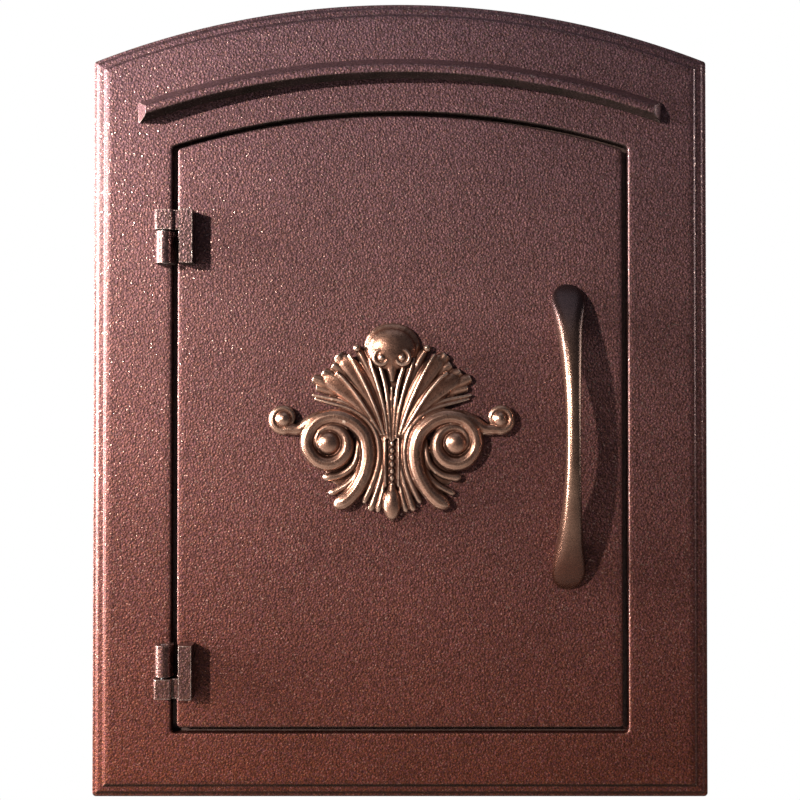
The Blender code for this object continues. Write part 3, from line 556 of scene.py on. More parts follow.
def make_handle_coat():
    """The same coat rubbed smooth by hands, down to bare copper along the middle of the bow, partly
    a painted sheen; redder below and mauve above as painted reflection.
    """
    finish, tree, shader = new_material("handle_coat")
    place = object_place(tree)
    grain = place_group(tree, powder_grain, Pebbles_per_metre=1700.0, Grains_per_metre=1900.0)
    low, high = handle_low.z, handle_high.z
    from_middle = math_node(tree, "SUBTRACT", up_part(tree, place), (low + high) / 2)
    away = math_node(tree, "ABSOLUTE", from_middle)
    # Painted sheen: the middle of the bow is lightened to copper, partly as rubbed wear.
    rubbed_and_painted_sheen = remap(tree, away, RUBBED_AND_SHEEN_HALF, COATED_HALF, 1.0, 0.0)
    patchy = remap(tree, noise(tree, place, 90.0, 4.0, 0.6), 0.3, 0.7, 0.55, 0.95)
    # Painted reflection: redder on the lower foot, mauve on the upper.
    base = mix_colour(tree, height_share(tree, low, high), HANDLE_LOWER_PAINTED_GROUND_REFLECTION, HANDLE_UPPER_PAINTED_SKY_REFLECTION)
    base = mix_colour(tree, product(tree, rubbed_and_painted_sheen, patchy), base, RUBBED_COPPER_AND_PAINTED_SHEEN)
    base = scaled(tree, base, grain_gain(tree, grain, 0.22))
    rough = remap(tree, grain.outputs["Hue"], 0.0, 1.0, 0.31, 0.23)
    link(tree, base, shader.inputs["Base Color"])
    link(tree, rough, shader.inputs["Roughness"])
    shader.inputs["Metallic"].default_value = COAT_METALLIC
    add_lacquer(shader, 0.18, 0.20)
    bump(tree, shader, grain.outputs["Height"], 0.00008)
    return finish


def make_antique_copper():
    """Polished copper on the crests, lightened partly as a painted highlight, and dark patina in
    the recesses.
    """
    finish, tree, shader = new_material("antique_copper")
    place = object_place(tree)
    pointy = add_node(tree, "ShaderNodeNewGeometry").outputs["Pointiness"]
    shelter = add_node(tree, "ShaderNodeAmbientOcclusion", samples=6)
    shelter.inputs["Distance"].default_value = 0.0050
    hollow = remap(tree, shelter.outputs["AO"], 0.36, 0.92, 1.0, 0.0)
    # Crests lightened: partly polish, partly a painted highlight.
    crest_and_painted_highlight = remap(tree, pointy, 0.50, 0.56)
    blotch = remap(tree, noise(tree, place, 240.0, 5.0, 0.65), 0.35, 0.65)
    fine = noise(tree, place, 1400.0, 3.0, 0.6)
    base = mix_colour(tree, blotch, COPPER_DARK, COPPER_LIGHT)
    base = mix_colour(tree, crest_and_painted_highlight, base, COPPER_CREST_AND_PAINTED_HIGHLIGHT)
    base = mix_colour(tree, hollow, base, PATINA)
    rough = remap(tree, hollow, 0.0, 1.0, 0.29, 0.55)
    rough = math_node(tree, "ADD", rough, remap(tree, fine, 0.3, 0.7, -0.05, 0.08))
    link(tree, base, shader.inputs["Base Color"])
    link(tree, rough, shader.inputs["Roughness"])
    shader.inputs["Metallic"].default_value = 0.95
    bump(tree, shader, fine, 0.00010)
    return finish


def make_box_paint():
    """Dark bronze paint on folded sheet steel, with a faint orange peel."""
    finish, tree, shader = new_material("box_paint")
    grain = place_group(tree, powder_grain, Pebbles_per_metre=420.0, Grains_per_metre=1600.0)
    edge_mask = place_group(tree, outer_edges, Radius=0.0006, Amount=0.8).outputs["Mask"]
    base = mix_colour(tree, grain.outputs["Mottle"], PAINT_DARK, PAINT_LIGHT)
    base = scaled(tree, base, grain_gain(tree, grain, 0.25))
    base = mix_colour(tree, edge_mask, base, PAINT_WORN)
    rough = remap(tree, grain.outputs["Height"], 0.3, 0.7, 0.50, 0.38)
    link(tree, base, shader.inputs["Base Color"])
    link(tree, rough, shader.inputs["Roughness"])
    shader.inputs["Metallic"].default_value = 0.30
    bump(tree, shader, grain.outputs["Height"], 0.00010)
    return finish


def make_bare_metal(name, dark, light, roughness):
    """Plated or bright steel with drawn lines and light tarnish."""
    finish, tree, shader = new_material(name)
    lines = place_group(tree, brushing, Lines_per_metre=2600.0)
    blotch = lines.outputs["Blotch"]
    rough = remap(tree, blotch, 0.3, 0.7, roughness - 0.06, roughness + 0.12)
    base = mix_colour(tree, remap(tree, blotch, 0.35, 0.68), light, dark)
    link(tree, base, shader.inputs["Base Color"])
    link(tree, rough, shader.inputs["Roughness"])
    shader.inputs["Metallic"].default_value = 1.0
    bump(tree, shader, lines.outputs["Height"], 0.00003)
    return finish


def make_dull(name, dark, light, roughness, pebbles, relief):
    """Rubber, plastic or ceramic magnet: a matt surface with a fine moulded grain."""
    finish, tree, shader = new_material(name)
    grain = place_group(tree, powder_grain, Pebbles_per_metre=pebbles, Grains_per_metre=3000.0)
    base = mix_colour(tree, remap(tree, grain.outputs["Height"], 0.3, 0.7), dark, light)
    rough = remap(tree, grain.outputs["Mottle"], 0.3, 0.7, roughness - 0.06, roughness + 0.06)
    link(tree, base, shader.inputs["Base Color"])
    link(tree, rough, shader.inputs["Roughness"])
    bump(tree, shader, grain.outputs["Height"], relief)
    return finish


plate_coat = make_hammered_coat(
    "hammered_coat", relief=0.00022, roughness=0.56, spread=0.48, coat=0.12
)
hinge_coat = make_hammered_coat(
    "hinge_coat", relief=0.00020, roughness=0.42, spread=0.42, coat=0.35, grey=0.20
)
handle_coat = make_handle_coat()
antique_copper = make_antique_copper()
box_paint = make_box_paint()
zinc_plate = make_bare_metal(
    "zinc_plate", dark=(0.42, 0.40, 0.34), light=(0.66, 0.65, 0.60), roughness=0.36
)
steel = make_bare_metal(
    "steel", dark=(0.30, 0.29, 0.28), light=(0.56, 0.56, 0.57), roughness=0.28
)
seal_rubber = make_dull(
    "seal_rubber", dark=(0.012, 0.012, 0.012), light=(0.030, 0.030, 0.031),
    roughness=0.80, pebbles=900.0, relief=0.00008,
)
catch_plastic = make_dull(
    "catch_plastic", dark=(0.050, 0.032, 0.024), light=(0.075, 0.052, 0.040),
    roughness=0.48, pebbles=1500.0, relief=0.00005,
)
magnet_ferrite = make_dull(
    "magnet_ferrite", dark=(0.020, 0.020, 0.022), light=(0.045, 0.045, 0.048),
    roughness=0.60, pebbles=1800.0, relief=0.00004,
)

# The finish of every material slot that the record names.
FINISHES = {
    "hammered_coat": plate_coat,
    "antique_copper": antique_copper,
    "box_paint": box_paint,
    "zinc_plate": zinc_plate,
    "steel": steel,
    "seal_rubber": seal_rubber,
    "catch_plastic": catch_plastic,
    "magnet_ferrite": magnet_ferrite,
}


# ---------------------------------------------------------------- castings

def make_faceplate():
    """Surround with a two-step moulded rim, a rounded mouth, and screw holes in its back."""
    front = PLATE_FRONT
    moulding = (
        (0.0, PLATE_BACK), (0.0, front + 0.0058), (0.0001, front + 0.0055),
        (0.0004, front + 0.0053), (0.0014, front + 0.0052), (0.0018, front + 0.0051),
        (0.0034, front + 0.0031), (0.0038, front + 0.0029), (0.0042, front + 0.0028),
        (0.0062, front + 0.0027), (0.0067, front + 0.0026), (0.0081, front + 0.0006),
        (0.0085, front + 0.0002), (0.0090, front), (0.0120, front),
    )
    mouth = (
        (-0.0040, front), (-0.0011, front), (-0.0006, front + 0.0001),
        (-0.0002, front + 0.0004), (0.0, front + 0.0009), (0.0, PLATE_BACK),
    )
    rings = [at_depth(plate_outline(inset), y) for inset, y in moulding]
    rings += [at_depth(opening_outline(inset), y) for inset, y in mouth]
    plate = finish_piece(
        "faceplate_casting", loft(rings, False), plate_coat, "box", ["faceplate"],
        smooth_angle=50,
    )
    spots = [spot_of(name, FLANGE_SCREW_RADIUS) for name in FLANGE_SCREWS]
    spots += [spot_of(name, SHEET_SCREW_RADIUS) for name in SHEET_SCREWS]
    drill(plate, spots, PLATE_BACK + 0.002, PLATE_BACK - SCREW_HOLE_DEPTH)


def make_door():
    """Flat door with a softly rounded front edge."""
    front = PLATE_FRONT
    edge = (
        (0.0006, DOOR_BACK), (0.0001, DOOR_BACK - 0.0002), (0.0, DOOR_BACK - 0.0006),
        (0.0, front + 0.0010), (0.0002, front + 0.0004), (0.0007, front + 0.0001),
        (0.0013, front), (0.0040, front),
    )
    rings = [at_depth(door_outline(inset), y) for inset, y in edge]
    finish_piece(
        "door_casting", loft(rings, True), plate_coat, "door", ["door_panel"],
        smooth_angle=50,
    )


def make_hood():
    """Arched drip ledge, drafted at its ends and softened along its edges."""
    back = hood_high.y
    front = hood_low.y
    top = hood_high.z
    soffit = 0.1882
    top_arch = 0.468
    steps = 96
    # Depth, height over the middle, and half length of each line along the ledge.
    section = (
        (back, top, 0.1530), (back - 0.0007, top - 0.0003, 0.1529),
        (back - 0.0014, top - 0.0006, 0.1519), (front + 0.0016, 0.1941, 0.1473),
        (front + 0.0006, 0.1935, 0.1468), (front, 0.1926, 0.1465),
        (front, 0.1892, 0.1465), (front + 0.0004, 0.1885, 0.1467),
        (front + 0.0012, soffit, 0.1471), (back - 0.0014, soffit, 0.1519),
        (back - 0.0007, soffit, 0.1529), (back, soffit, 0.1530),
    )
    rings = []
    for i in range(steps + 1):
        along = 2.0 * i / steps - 1.0
        ring = []
        for y, apex, half_length in section:
            radius = top_arch + apex - top
            x = half_length * along
            ring.append((x, y, apex - radius + math.sqrt(radius**2 - x**2)))
        rings.append(ring)
    hood = finish_piece(
        "drip_hood_casting", loft(rings, True), plate_coat, "box", ["drip_hood"],
        smooth_angle=40,
    )
    soften(hood, 0.0005)


def fuller(share):
    """Push a sine or cosine outwards, so that an oval section fills its corners."""
    return math.copysign(abs(share) ** 0.80, share)


def make_handle():
    """Bow pull: broad rounded feet on the door and a slim round middle."""
    face = handle_high.y
    proud = face - handle_low.y
    centre_x = (handle_low.x + handle_high.x) / 2
    centre_z = (handle_low.z + handle_high.z) / 2
    half_length = (handle_high.z - handle_low.z) / 2
    slim = 0.00405
    flare = 0.00830
    clearance = 0.0223
    open_reach = 0.70
    tip_from, tip_length = 0.82, 0.18
    least_proud = 0.0005
    least_thick = 0.0004
    steps = 90
    sides = 36
    rings = []
    for i in range(steps + 1):
        along = math.sin(QUARTER_TURN * (2.0 * i / steps - 1.0))
        reach = abs(along)
        tip = math.sqrt(max(0.0, 1.0 - max(0.0, (reach - tip_from) / tip_length) ** 2))
        half_width = (slim + flare * reach**2.2) * (0.03 + 0.97 * tip)
        front = max(proud * max(0.0, 1.0 - reach**2.3) ** 0.85, least_proud)
        arched = max(0.0, clearance * (1.0 - (reach / open_reach) ** 2))
        underside = min(arched, front - least_thick)
        middle = (underside + front) / 2
        thick = (front - underside) / 2
        z = centre_z + half_length * along
        ring = []
        for k in range(sides):
            angle = 2 * math.pi * k / sides
            x = centre_x + half_width * fuller(math.cos(angle))
            ring.append((x, face - middle - thick * fuller(math.sin(angle)), z))
        rings.append(ring)
    finish_piece(
        "bow_handle", loft(rings, True), handle_coat, "door", ["handle"],
        smooth_angle=60,
    )


# ---------------------------------------------------------------- emblem

# Across, up and proud are measured from here, on the door's face.
EMBLEM_ORIGIN = Vector((-0.0047, emblem_high.y, -0.0203))
LEAF_EDGE = 0.3
LEAF_ROOT = -1.5
RIM_FULLNESS = 1.6


def smooth_line(points, steps):
    """A smooth line through the points, which are tuples of any one length."""
    spots = [Vector(point) for point in points]
    spots = [spots[0] * 2 - spots[1]] + spots + [spots[-1] * 2 - spots[-2]]
    line = []
    for a, b, c, d in zip(spots, spots[1:], spots[2:], spots[3:]):
        for i in range(steps):
            t = i / steps
            turn = (a - b * 2.5 + c * 2 - d / 2) * t**2
            twist = (b * 3 - a - c * 3 + d) * (t**3 / 2)
            line.append(b + (c - a) * (t / 2) + turn + twist)
    line.append(spots[-2])
    return line


def add_bar(bm, points, mirrored=True, steps=5):
    """A round bar through (across, up, proud, radius) points, in millimetres."""
    for side in (1, -1) if mirrored else (1,):
        curve = bpy.data.curves.new("bar", "CURVE")
        curve.dimensions = "3D"
        curve.bevel_depth = 1.0
        curve.bevel_resolution = 4
        curve.use_fill_caps = True
        line = smooth_line(points, steps)
        spline = curve.splines.new("POLY")
        spline.points.add(len(line) - 1)
        for point, (across, up, proud, radius) in zip(spline.points, line):
            point.co = (side * across, up, proud, 1.0)
            point.radius = radius
        bar = add_object("bar", curve)
        bpy.context.view_layer.update()
        graph = bpy.context.evaluated_depsgraph_get()
        mesh = bpy.data.meshes.new_from_object(bar.evaluated_get(graph))
        bm.from_mesh(mesh)
        bpy.data.objects.remove(bar)
        bpy.data.curves.remove(curve)
        bpy.data.meshes.remove(mesh)


def add_ball(bm, across, up, proud, radii, mirrored=True):
    """A ball or a flattened dome, in millimetres."""
    for side in (1, -1) if mirrored else (1,):
        place = Matrix.Translation((side * across, up, proud)) @ Matrix.Diagonal((*radii, 1))
        bmesh.ops.create_uvsphere(bm, u_segments=24, v_segments=16, radius=1.0, matrix=place)


def add_leaf(bm, points, crown, rim=0.0):
    """A leaf along (across, up, proud, half width) points: crowned, or hollow with raised rims."""
    line = smooth_line(points, 8)
    count = len(line)
    for side in (1, -1):
        made = bmesh.ops.create_grid(bm, x_segments=8, y_segments=count - 1, size=0.5)
        for vert in made["verts"]:
            t = vert.co.x * 2.0
            i = round((vert.co.y + 0.5) * (count - 1))
            before = line[max(i - 1, 0)]
            after = line[min(i + 1, count - 1)]
            along = Vector((after[0] - before[0], after[1] - before[1])).normalized()
            across, up, proud, width = line[i]
            ridge = rim * width * RIM_FULLNESS * (t * t - t**4)
            level = max(proud * (1.0 - crown * t * t) + ridge, LEAF_EDGE)
            x = side * (across + along.y * t * width)
            vert.co = (x, up - along.x * t * width, level)
        faces = list({face for vert in made["verts"] for face in vert.link_faces})
        pulled = bmesh.ops.extrude_face_region(bm, geom=faces)
        for part in pulled["geom"]:
            if isinstance(part, bmesh.types.BMVert):
                part.co.z = LEAF_ROOT


def scroll_points(centre, start, end, radii, bars, levels):
    """Points of a scroll winding in round centre, from start to end degrees."""
    degrees_apart = 25
    count = round(abs(end - start) / degrees_apart)
    points = []
    for i in range(count + 1):
        share = i / count
        angle = math.radians(start + (end - start) * share)
        place = share * (len(radii) - 1)
        j = min(int(place), len(radii) - 2)
        radius, bar, level = (
            row[j] + (row[j + 1] - row[j]) * (place - j) for row in (radii, bars, levels)
        )
        x = centre[0] + radius * math.cos(angle)
        points.append((x, centre[1] + radius * math.sin(angle), level, bar))
    return points


def add_big_scrolls(bm):
    """C scrolls each side: foot, up the inside, over the top and round to a ball."""
    centre = (37.0, -4.7)
    sweep = [
        (32.6, -39.6, 1.8, 2.0), (31.4, -39.8, 2.6, 3.8), (29.0, -39.2, 3.1, 4.7),
        (26.6, -37.8, 3.3, 4.8), (23.6, -35.2, 3.5, 4.5), (19.6, -30.0, 3.6, 4.4),
        (15.4, -21.5, 3.8, 4.5), (13.6, -11.0, 3.9, 4.6), (15.6, -0.5, 4.0, 4.7),
        (21.8, 6.6, 4.0, 4.8), (29.5, 10.2, 4.0, 4.8),
    ]
    winding = scroll_points(
        centre, 95, -410,
        radii=(15.2, 12.6, 11.8, 12.2, 11.4, 10.2, 8.8, 6.8, 4.6),
        bars=(4.5, 4.3, 4.2, 4.4, 4.2, 3.2, 2.3, 1.8, 1.4),
        levels=(4.1, 4.0, 3.8, 3.8, 3.8, 3.9, 4.2, 4.8, 5.6),
    )
    add_bar(bm, sweep + winding, steps=4)
    add_ball(bm, *centre, 3.2, (7.3, 7.3, 5.8))
    add_ball(bm, *centre, -0.5, (12.0, 12.0, 2.6))


def add_small_scrolls(bm):
    """Arms that leave the big scrolls and curl up at their ends."""
    centre = (62.8, 9.2)
    arm = [
        (31.0, 10.0, 3.0, 3.8), (39.5, 10.4, 3.2, 4.2), (47.0, 7.6, 3.2, 4.2),
        (54.0, 3.4, 3.1, 3.6),
    ]
    winding = scroll_points(
        centre, -112, 230,
        radii=(6.4, 6.3, 6.1, 5.7, 4.6),
        bars=(3.3, 2.9, 2.4, 1.9, 1.3),
        levels=(3.2, 3.3, 3.4, 3.7, 4.2),
    )
    add_bar(bm, arm + winding, steps=4)
    add_ball(bm, *centre, 3.2, (5.0, 5.0, 5.0))
    add_ball(bm, *centre, -0.5, (7.0, 7.0, 3.4))


def add_feathers(bm):
    """Rows of feathers under the big scrolls and at the foot."""
    add_bar(bm, [
        (19.5, 4.0, 2.2, 1.0), (19.8, -8.0, 2.8, 1.7), (22.0, -17.0, 2.9, 2.1),
        (29.0, -23.0, 2.7, 2.2), (36.0, -24.6, 2.6, 2.5), (38.4, -24.4, 2.4, 2.3),
        (40.0, -24.2, 2.0, 1.5),
    ])
    add_bar(bm, [
        (18.0, -10.0, 2.4, 1.2), (18.8, -19.0, 2.8, 1.8), (24.0, -27.3, 2.9, 2.0),
        (31.8, -32.3, 2.6, 2.0), (34.6, -33.4, 2.4, 2.0), (36.4, -33.8, 2.0, 1.3),
    ])
    add_bar(bm, [
        (5.6, 0.0, 2.6, 0.7), (5.2, -10.0, 3.0, 1.0), (5.6, -21.0, 3.0, 1.3),
        (8.6, -32.0, 2.8, 1.7), (11.2, -40.0, 2.6, 2.2), (12.2, -42.6, 2.3, 2.1),
        (12.8, -44.0, 1.9, 1.3),
    ])
    add_bar(bm, [
        (4.2, -24.0, 2.4, 0.8), (5.4, -33.0, 2.6, 1.4), (7.4, -41.0, 2.5, 1.9),
        (8.0, -43.4, 2.2, 1.7), (8.3, -44.8, 1.8, 1.0),
    ])
    add_ball(bm, 27.0, -16.0, -0.5, (13.0, 15.0, 2.4))


def add_long_ridges(bm):
    """Ridges that run from the fringe under the fan down to the foot."""
    add_bar(bm, [
        (45.0, 21.0, 2.0, 0.8), (36.0, 18.5, 2.6, 1.1), (25.0, 15.2, 3.0, 1.4),
        (16.0, 10.0, 3.4, 1.6), (9.8, 2.0, 3.6, 1.6), (7.4, -9.0, 3.6, 1.6),
        (8.6, -20.0, 3.4, 1.7), (12.6, -31.0, 3.0, 1.9), (15.6, -37.6, 2.7, 1.8),
        (16.6, -39.6, 2.2, 0.9),
    ])
    add_bar(bm, [
        (46.5, 23.2, 2.0, 0.7), (38.0, 21.6, 2.4, 1.0), (29.0, 19.5, 2.8, 1.2),
        (20.0, 15.5, 3.0, 1.2), (12.5, 9.0, 3.0, 1.1), (8.2, 3.0, 2.8, 0.9),
    ])


def add_fan(bm):
    """Fan of broad hollow leaves with toothed tips and ridges between them, on a low web."""
    hollow_leaves = (
        ((3.2, -1.0, 3.2, 1.4), (8.0, 12.0, 4.2, 3.2), (15.0, 26.5, 4.8, 4.9),
         (22.0, 36.8, 5.0, 5.4), (26.6, 42.2, 4.8, 4.6), (29.0, 44.8, 4.2, 3.2)),
        ((5.2, -2.0, 3.2, 1.6), (11.0, 8.5, 4.4, 3.2), (20.0, 19.8, 5.0, 4.9),
         (29.6, 28.0, 5.0, 5.6), (35.6, 31.6, 4.6, 5.0), (39.0, 33.4, 4.0, 3.6)),
    )
    for points in hollow_leaves:
        add_leaf(bm, points, 0.34, 0.30)
    narrow_leaves = (
        ((1.5, -2.0, 3.0, 1.2), (4.2, 13.0, 3.8, 2.2), (9.5, 29.0, 4.2, 3.2),
         (15.5, 42.0, 4.2, 3.0), (19.0, 48.2, 3.8, 2.2), (20.6, 50.6, 3.2, 1.6)),
        ((1.5, 0.0, 3.0, 1.0), (3.5, 14.0, 3.6, 1.6), (7.5, 30.0, 4.0, 2.4),
         (12.0, 44.0, 4.0, 2.4), (14.2, 51.0, 3.6, 1.8), (15.0, 53.0, 3.0, 1.4)),
        ((24.0, 37.0, 3.6, 3.4), (28.4, 42.8, 4.4, 4.4), (31.6, 46.6, 4.4, 3.2)),
        ((25.0, 34.0, 3.4, 3.4), (30.4, 38.4, 4.2, 3.8), (34.4, 40.8, 4.2, 2.9)),
        ((31.0, 29.0, 3.4, 3.6), (35.8, 33.8, 4.2, 4.0), (40.0, 36.8, 4.2, 2.7)),
        ((32.0, 26.5, 3.4, 3.6), (39.2, 30.4, 4.2, 4.2), (46.0, 33.0, 4.0, 2.5)),
        ((30.0, 24.0, 3.2, 3.0), (38.4, 26.6, 3.6, 3.2), (44.2, 27.4, 3.6, 2.2)),
    )
    for points in narrow_leaves:
        add_leaf(bm, points, 0.5)
    add_ball(bm, 20.4, 50.4, 3.4, (2.2, 2.2, 2.0))
    ridges = (
        ((0.9, -3.0, 3.2, 0.8), (1.7, 12.0, 4.2, 1.0), (3.4, 27.0, 5.0, 1.2),
         (6.2, 38.0, 4.8, 1.2), (7.6, 42.5, 4.4, 1.0)),
        ((2.4, -2.0, 3.4, 0.8), (4.0, 13.0, 4.4, 1.0), (8.0, 29.0, 5.0, 1.1),
         (11.4, 39.0, 4.8, 1.1), (12.8, 44.5, 4.2, 1.0)),
        ((4.4, 0.0, 3.6, 0.9), (8.4, 12.5, 4.8, 1.0), (13.0, 24.0, 5.2, 1.1),
         (18.0, 34.5, 5.2, 1.1), (22.6, 43.0, 4.8, 1.0), (25.0, 46.8, 4.2, 0.9)),
        ((6.0, 0.0, 3.6, 0.9), (12.6, 11.0, 4.8, 1.0), (20.0, 22.6, 5.4, 1.1),
         (27.6, 32.0, 5.2, 1.1), (32.4, 36.0, 4.6, 1.0)),
    )
    for points in ridges:
        add_bar(bm, points)
    middle_ridge = [(0.0, -2.0, 3.0, 0.8), (0.0, 14.0, 4.0, 1.0), (0.0, 28.0, 4.4, 1.0)]
    add_bar(bm, middle_ridge, mirrored=False)
    add_ball(bm, 0.0, 20.0, -0.5, (31.0, 24.0, 3.2), mirrored=False)
    add_ball(bm, 0.0, -15.0, -0.5, (18.0, 26.0, 2.8), mirrored=False)


def add_middle(bm):
    """Bead string between two fillets, and the pendant under it."""
    beads = 7
    top_bead = -5.0
    spacing = 4.0
    add_bar(bm, [
        (3.9, 3.0, 3.0, 0.5), (3.9, -8.0, 3.6, 0.8), (3.9, -20.0, 3.6, 0.8),
        (3.7, -30.0, 3.2, 0.7),
    ])
    for bead in range(beads):
        add_ball(bm, 0.0, top_bead - bead * spacing, 3.0, (1.5, 1.7, 1.5), mirrored=False)
    add_ball(bm, 0.0, -40.0, 2.6, (5.4, 9.6, 4.4), mirrored=False)
    pendant = [
        (0.0, -29.0, 2.0, 2.2), (0.0, -36.0, 2.6, 3.6), (0.0, -44.0, 2.4, 3.6),
        (0.0, -50.3, 1.6, 0.9),
    ]
    add_bar(bm, pendant, mirrored=False)


def add_hood_shell(bm):
    """Rounded shell at the top, its edge rolled into two curls over a tapering neck."""
    add_ball(bm, 0.2, 51.0, 1.0, (16.6, 14.3, 4.4), mirrored=False)
    add_ball(bm, -0.2, 49.6, 2.4, (14.4, 12.8, 6.2), mirrored=False)
    centre = (5.9, 44.8)
    curl = scroll_points(
        centre, 115, -300,
        radii=(4.6, 4.3, 3.9, 3.2, 2.2),
        bars=(1.5, 1.4, 1.3, 1.2, 1.1),
        levels=(6.6, 6.7, 6.7, 6.7, 6.9),
    )
    add_bar(bm, curl, steps=3)
    add_ball(bm, *centre, 5.8, (2.5, 2.5, 3.0))
    neck = [
        (0.0, 47.0, 1.2, 6.6), (0.0, 43.0, 1.6, 6.1), (0.0, 39.4, 2.6, 4.4), (0.0, 35.6, 3.6, 2.5),
        (0.0, 31.0, 3.9, 1.2),
    ]
    add_bar(bm, neck, mirrored=False)


EMBLEM_PARTS = (
    add_big_scrolls, add_small_scrolls, add_feathers, add_long_ridges, add_fan, add_middle,
    add_hood_shell,
)


def make_emblem():
    """All the ornament's parts cast into one skin with a flat back."""
    cast_grain = 0.42 * MM
    kept_share = 0.62
    bm = bmesh.new()
    for add_part in EMBLEM_PARTS:
        add_part(bm)
    bmesh.ops.remove_doubles(bm, verts=bm.verts, dist=0.0001)
    upright = Matrix.Rotation(QUARTER_TURN, 4, "X")
    to_metres = Matrix.Diagonal((MM, MM, MM, 1))
    stand = Matrix.Translation(EMBLEM_ORIGIN) @ upright @ to_metres
    bmesh.ops.transform(bm, matrix=stand, verts=bm.verts)
    emblem = finish_piece(
        "scroll_emblem", bm, antique_copper, "door", ["emblem"],
        smooth_angle=180,
    )
    cast = emblem.modifiers.new("cast", "REMESH")
    cast.mode = "VOXEL"
    cast.voxel_size = cast_grain
    cast.use_smooth_shade = True
    relax = emblem.modifiers.new("relax", "SMOOTH")
    relax.iterations = 2
    thin = emblem.modifiers.new("thin", "DECIMATE")
    thin.ratio = kept_share
    settle(emblem)
    flatten_back(emblem, EMBLEM_ORIGIN.y)


def flatten_back(piece, y):
    """Cut away what lies behind depth y and close the cut flat."""
    bm = bmesh.new()
    bm.from_mesh(piece.data)
    everything = list(bm.verts) + list(bm.edges) + list(bm.faces)
    cut = bmesh.ops.bisect_plane(
        bm, geom=everything, plane_co=(0, y, 0), plane_no=(0, 1, 0), clear_outer=True
    )
    rim = [part for part in cut["geom_cut"] if isinstance(part, bmesh.types.BMEdge)]
    bmesh.ops.triangle_fill(bm, edges=rim, use_beauty=False)
    bmesh.ops.recalc_face_normals(bm, faces=bm.faces)
    bm.to_mesh(piece.data)
    bm.free()
    shade(piece.data, 70)


# ---------------------------------------------------------------- box, hinges and hardware

def refine(node, finish, smooth_angle, edge=0.0):
    """A merged, smoothly shaded copy of a CAD node, with softened edges where asked."""
    bm = bmesh.new()
    bm.from_mesh(frame["nodes"][node].data)
    bmesh.ops.remove_doubles(bm, verts=bm.verts, dist=0.000002)
    flat = math.radians(1.0)
    bmesh.ops.dissolve_limit(bm, angle_limit=flat, verts=bm.verts, edges=bm.edges)
    body = body_of_node(node)
    piece = finish_piece(node + "_finished", bm, finish, body, [node], smooth_angle)
    if edge:
        soften(piece, edge)


def make_hinges():
    for level in ("upper", "lower"):
        refine(level + "_frame_knuckle", hinge_coat, 40, 0.0004)
        refine(level + "_door_leaf", hinge_coat, 40, 0.0005)
        refine(level + "_hinge_pin", steel, 40)


def make_sheet_parts():
    """The painted sheet-steel parts behind the front, and the rubber that the door shuts on."""
    refine("box_shell", box_paint, 50)
    refine("back_panel", box_paint, 50)
    refine("floor_pan", box_paint, 35)
    refine("stop_frame", box_paint, 35)
    refine("door_seal", seal_rubber, 35)


def dress_cad_nodes():
    """Every CAD node that still shows gets its slot's finish."""
    slots = {part["node"]: part["material_slot"] for part in frame["record"]["subparts"]}
    for name, node in frame["nodes"].items():
        if node.hide_render:
            continue
        node.data.materials.clear()
        node.data.materials.append(FINISHES[slots[name]])


# ---------------------------------------------------------------- studio

SUN_WHITE = (1.0, 0.95, 0.88)
LAMP_WHITE = (1.0, 0.99, 0.96)
FILL_WHITE = (1.0, 0.98, 0.95)
SKY_BLUE = (0.78, 0.87, 1.0)
SHADE_BLUE = (0.58, 0.68, 0.90)
FLOOR_GREY = (0.32, 0.317, 0.31)


def add_area(name, location, target, width, height, power, colour):
    """An oval lamp that looks at a target."""
    lamp = bpy.data.lights.new(name, "AREA")
    lamp.shape = "ELLIPSE"
    lamp.size = width
    lamp.size_y = height
    lamp.energy = power
    lamp.color = colour
    thing = add_object(name, lamp)
    thing.location = location
    thing.rotation_mode = "QUATERNION"
    thing.rotation_quaternion = (Vector(target) - Vector(location)).to_track_quat("-Z", "Y")


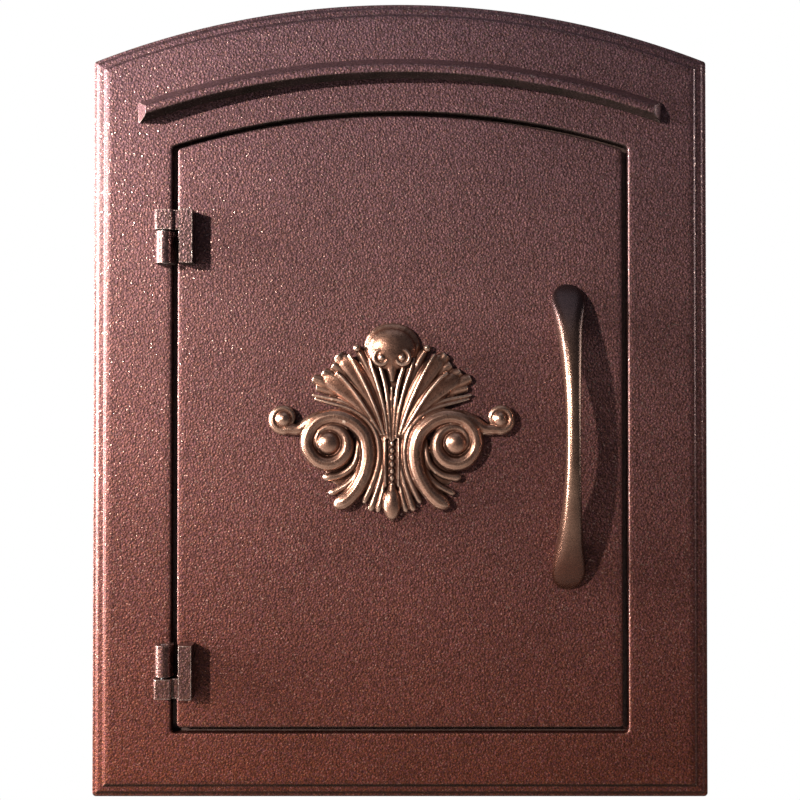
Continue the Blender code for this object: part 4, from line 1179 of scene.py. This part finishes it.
def light_mailbox():
    """Warm low key from the left, a glow along the left edge, soft sky, and fills behind."""
    centre = Vector((0.0, PLATE_FRONT, 0.0))
    towards_key = Vector((-0.82, -1.0, 0.31)).normalized()
    key_distance = 2.4
    add_area("key", centre + towards_key * key_distance, centre, 0.09, 0.09, 90.0, SUN_WHITE)
    add_area("side_glow", (-1.05, -0.34, 0.12), (0.0, -0.25, 0.02), 0.14, 1.00, 58.0, LAMP_WHITE)
    add_area("sky", centre + Vector((0.10, -0.5, 1.6)), centre, 1.2, 1.2, 2.4, SKY_BLUE)
    add_area("back_fill", (0.5, 1.5, 1.2), (0.0, -0.1, 0.0), 1.6, 1.6, 40.0, FILL_WHITE)
    add_area("flank_fill", (1.6, 0.45, 0.5), (0.1, -0.1, 0.0), 1.2, 1.2, 26.0, FILL_WHITE)


def make_surround():
    """White to look at, but only a faint blue light on the mailbox."""
    world = bpy.data.worlds.new("surround")
    bpy.context.scene.world = world
    world.use_nodes = True
    tree = world.node_tree
    shown = tree.nodes["Background"]
    feed(tree, (1.0, 1.0, 1.0), shown.inputs["Color"])
    lit = add_node(tree, "ShaderNodeBackground")
    feed(tree, SHADE_BLUE, lit.inputs["Color"])
    lit.inputs["Strength"].default_value = 0.085
    rays = add_node(tree, "ShaderNodeLightPath")
    choose = add_node(tree, "ShaderNodeMixShader")
    link(tree, rays.outputs["Is Camera Ray"], choose.inputs[0])
    link(tree, lit.outputs[0], choose.inputs[1])
    link(tree, shown.outputs[0], choose.inputs[2])
    link(tree, choose.outputs[0], tree.nodes["World Output"].inputs["Surface"])


def make_floor():
    """Pale floor below the mailbox, which hangs clear of it."""
    drop = 0.42
    bm = bmesh.new()
    place = Matrix.Translation((0.0, -0.9, plate_low.z - drop))
    spread = Matrix.Diagonal((2.4, 1.75, 1.0, 1.0))
    bmesh.ops.create_grid(bm, x_segments=1, y_segments=1, size=1.0, matrix=place @ spread)
    mesh = bake_mesh(bm, "floor")
    finish, tree, shader = new_material("floor_paint")
    feed(tree, FLOOR_GREY, shader.inputs["Base Color"])
    shader.inputs["Roughness"].default_value = 0.85
    mesh.materials.append(finish)
    floor = add_object("floor", mesh)


def make_camera():
    """Square on to the door, a touch low and tipped up."""
    distance = 0.7236
    tip = math.radians(0.72)
    lens = bpy.data.cameras.new("camera")
    lens.sensor_width = 36.0
    lens.lens = 55.77
    camera = add_object("camera", lens)
    camera.location = (0.0, PLATE_FRONT - distance, -distance * math.tan(tip))
    camera.rotation_euler = (QUARTER_TURN + tip, 0.0, 0.0)
    bpy.context.scene.camera = camera


make_camera()
make_faceplate()
make_door()
make_hood()
make_handle()
make_emblem()
make_hinges()
make_sheet_parts()
dress_cad_nodes()
light_mailbox()
make_surround()
make_floor()
bpy.context.scene.view_settings.view_transform = "Standard"
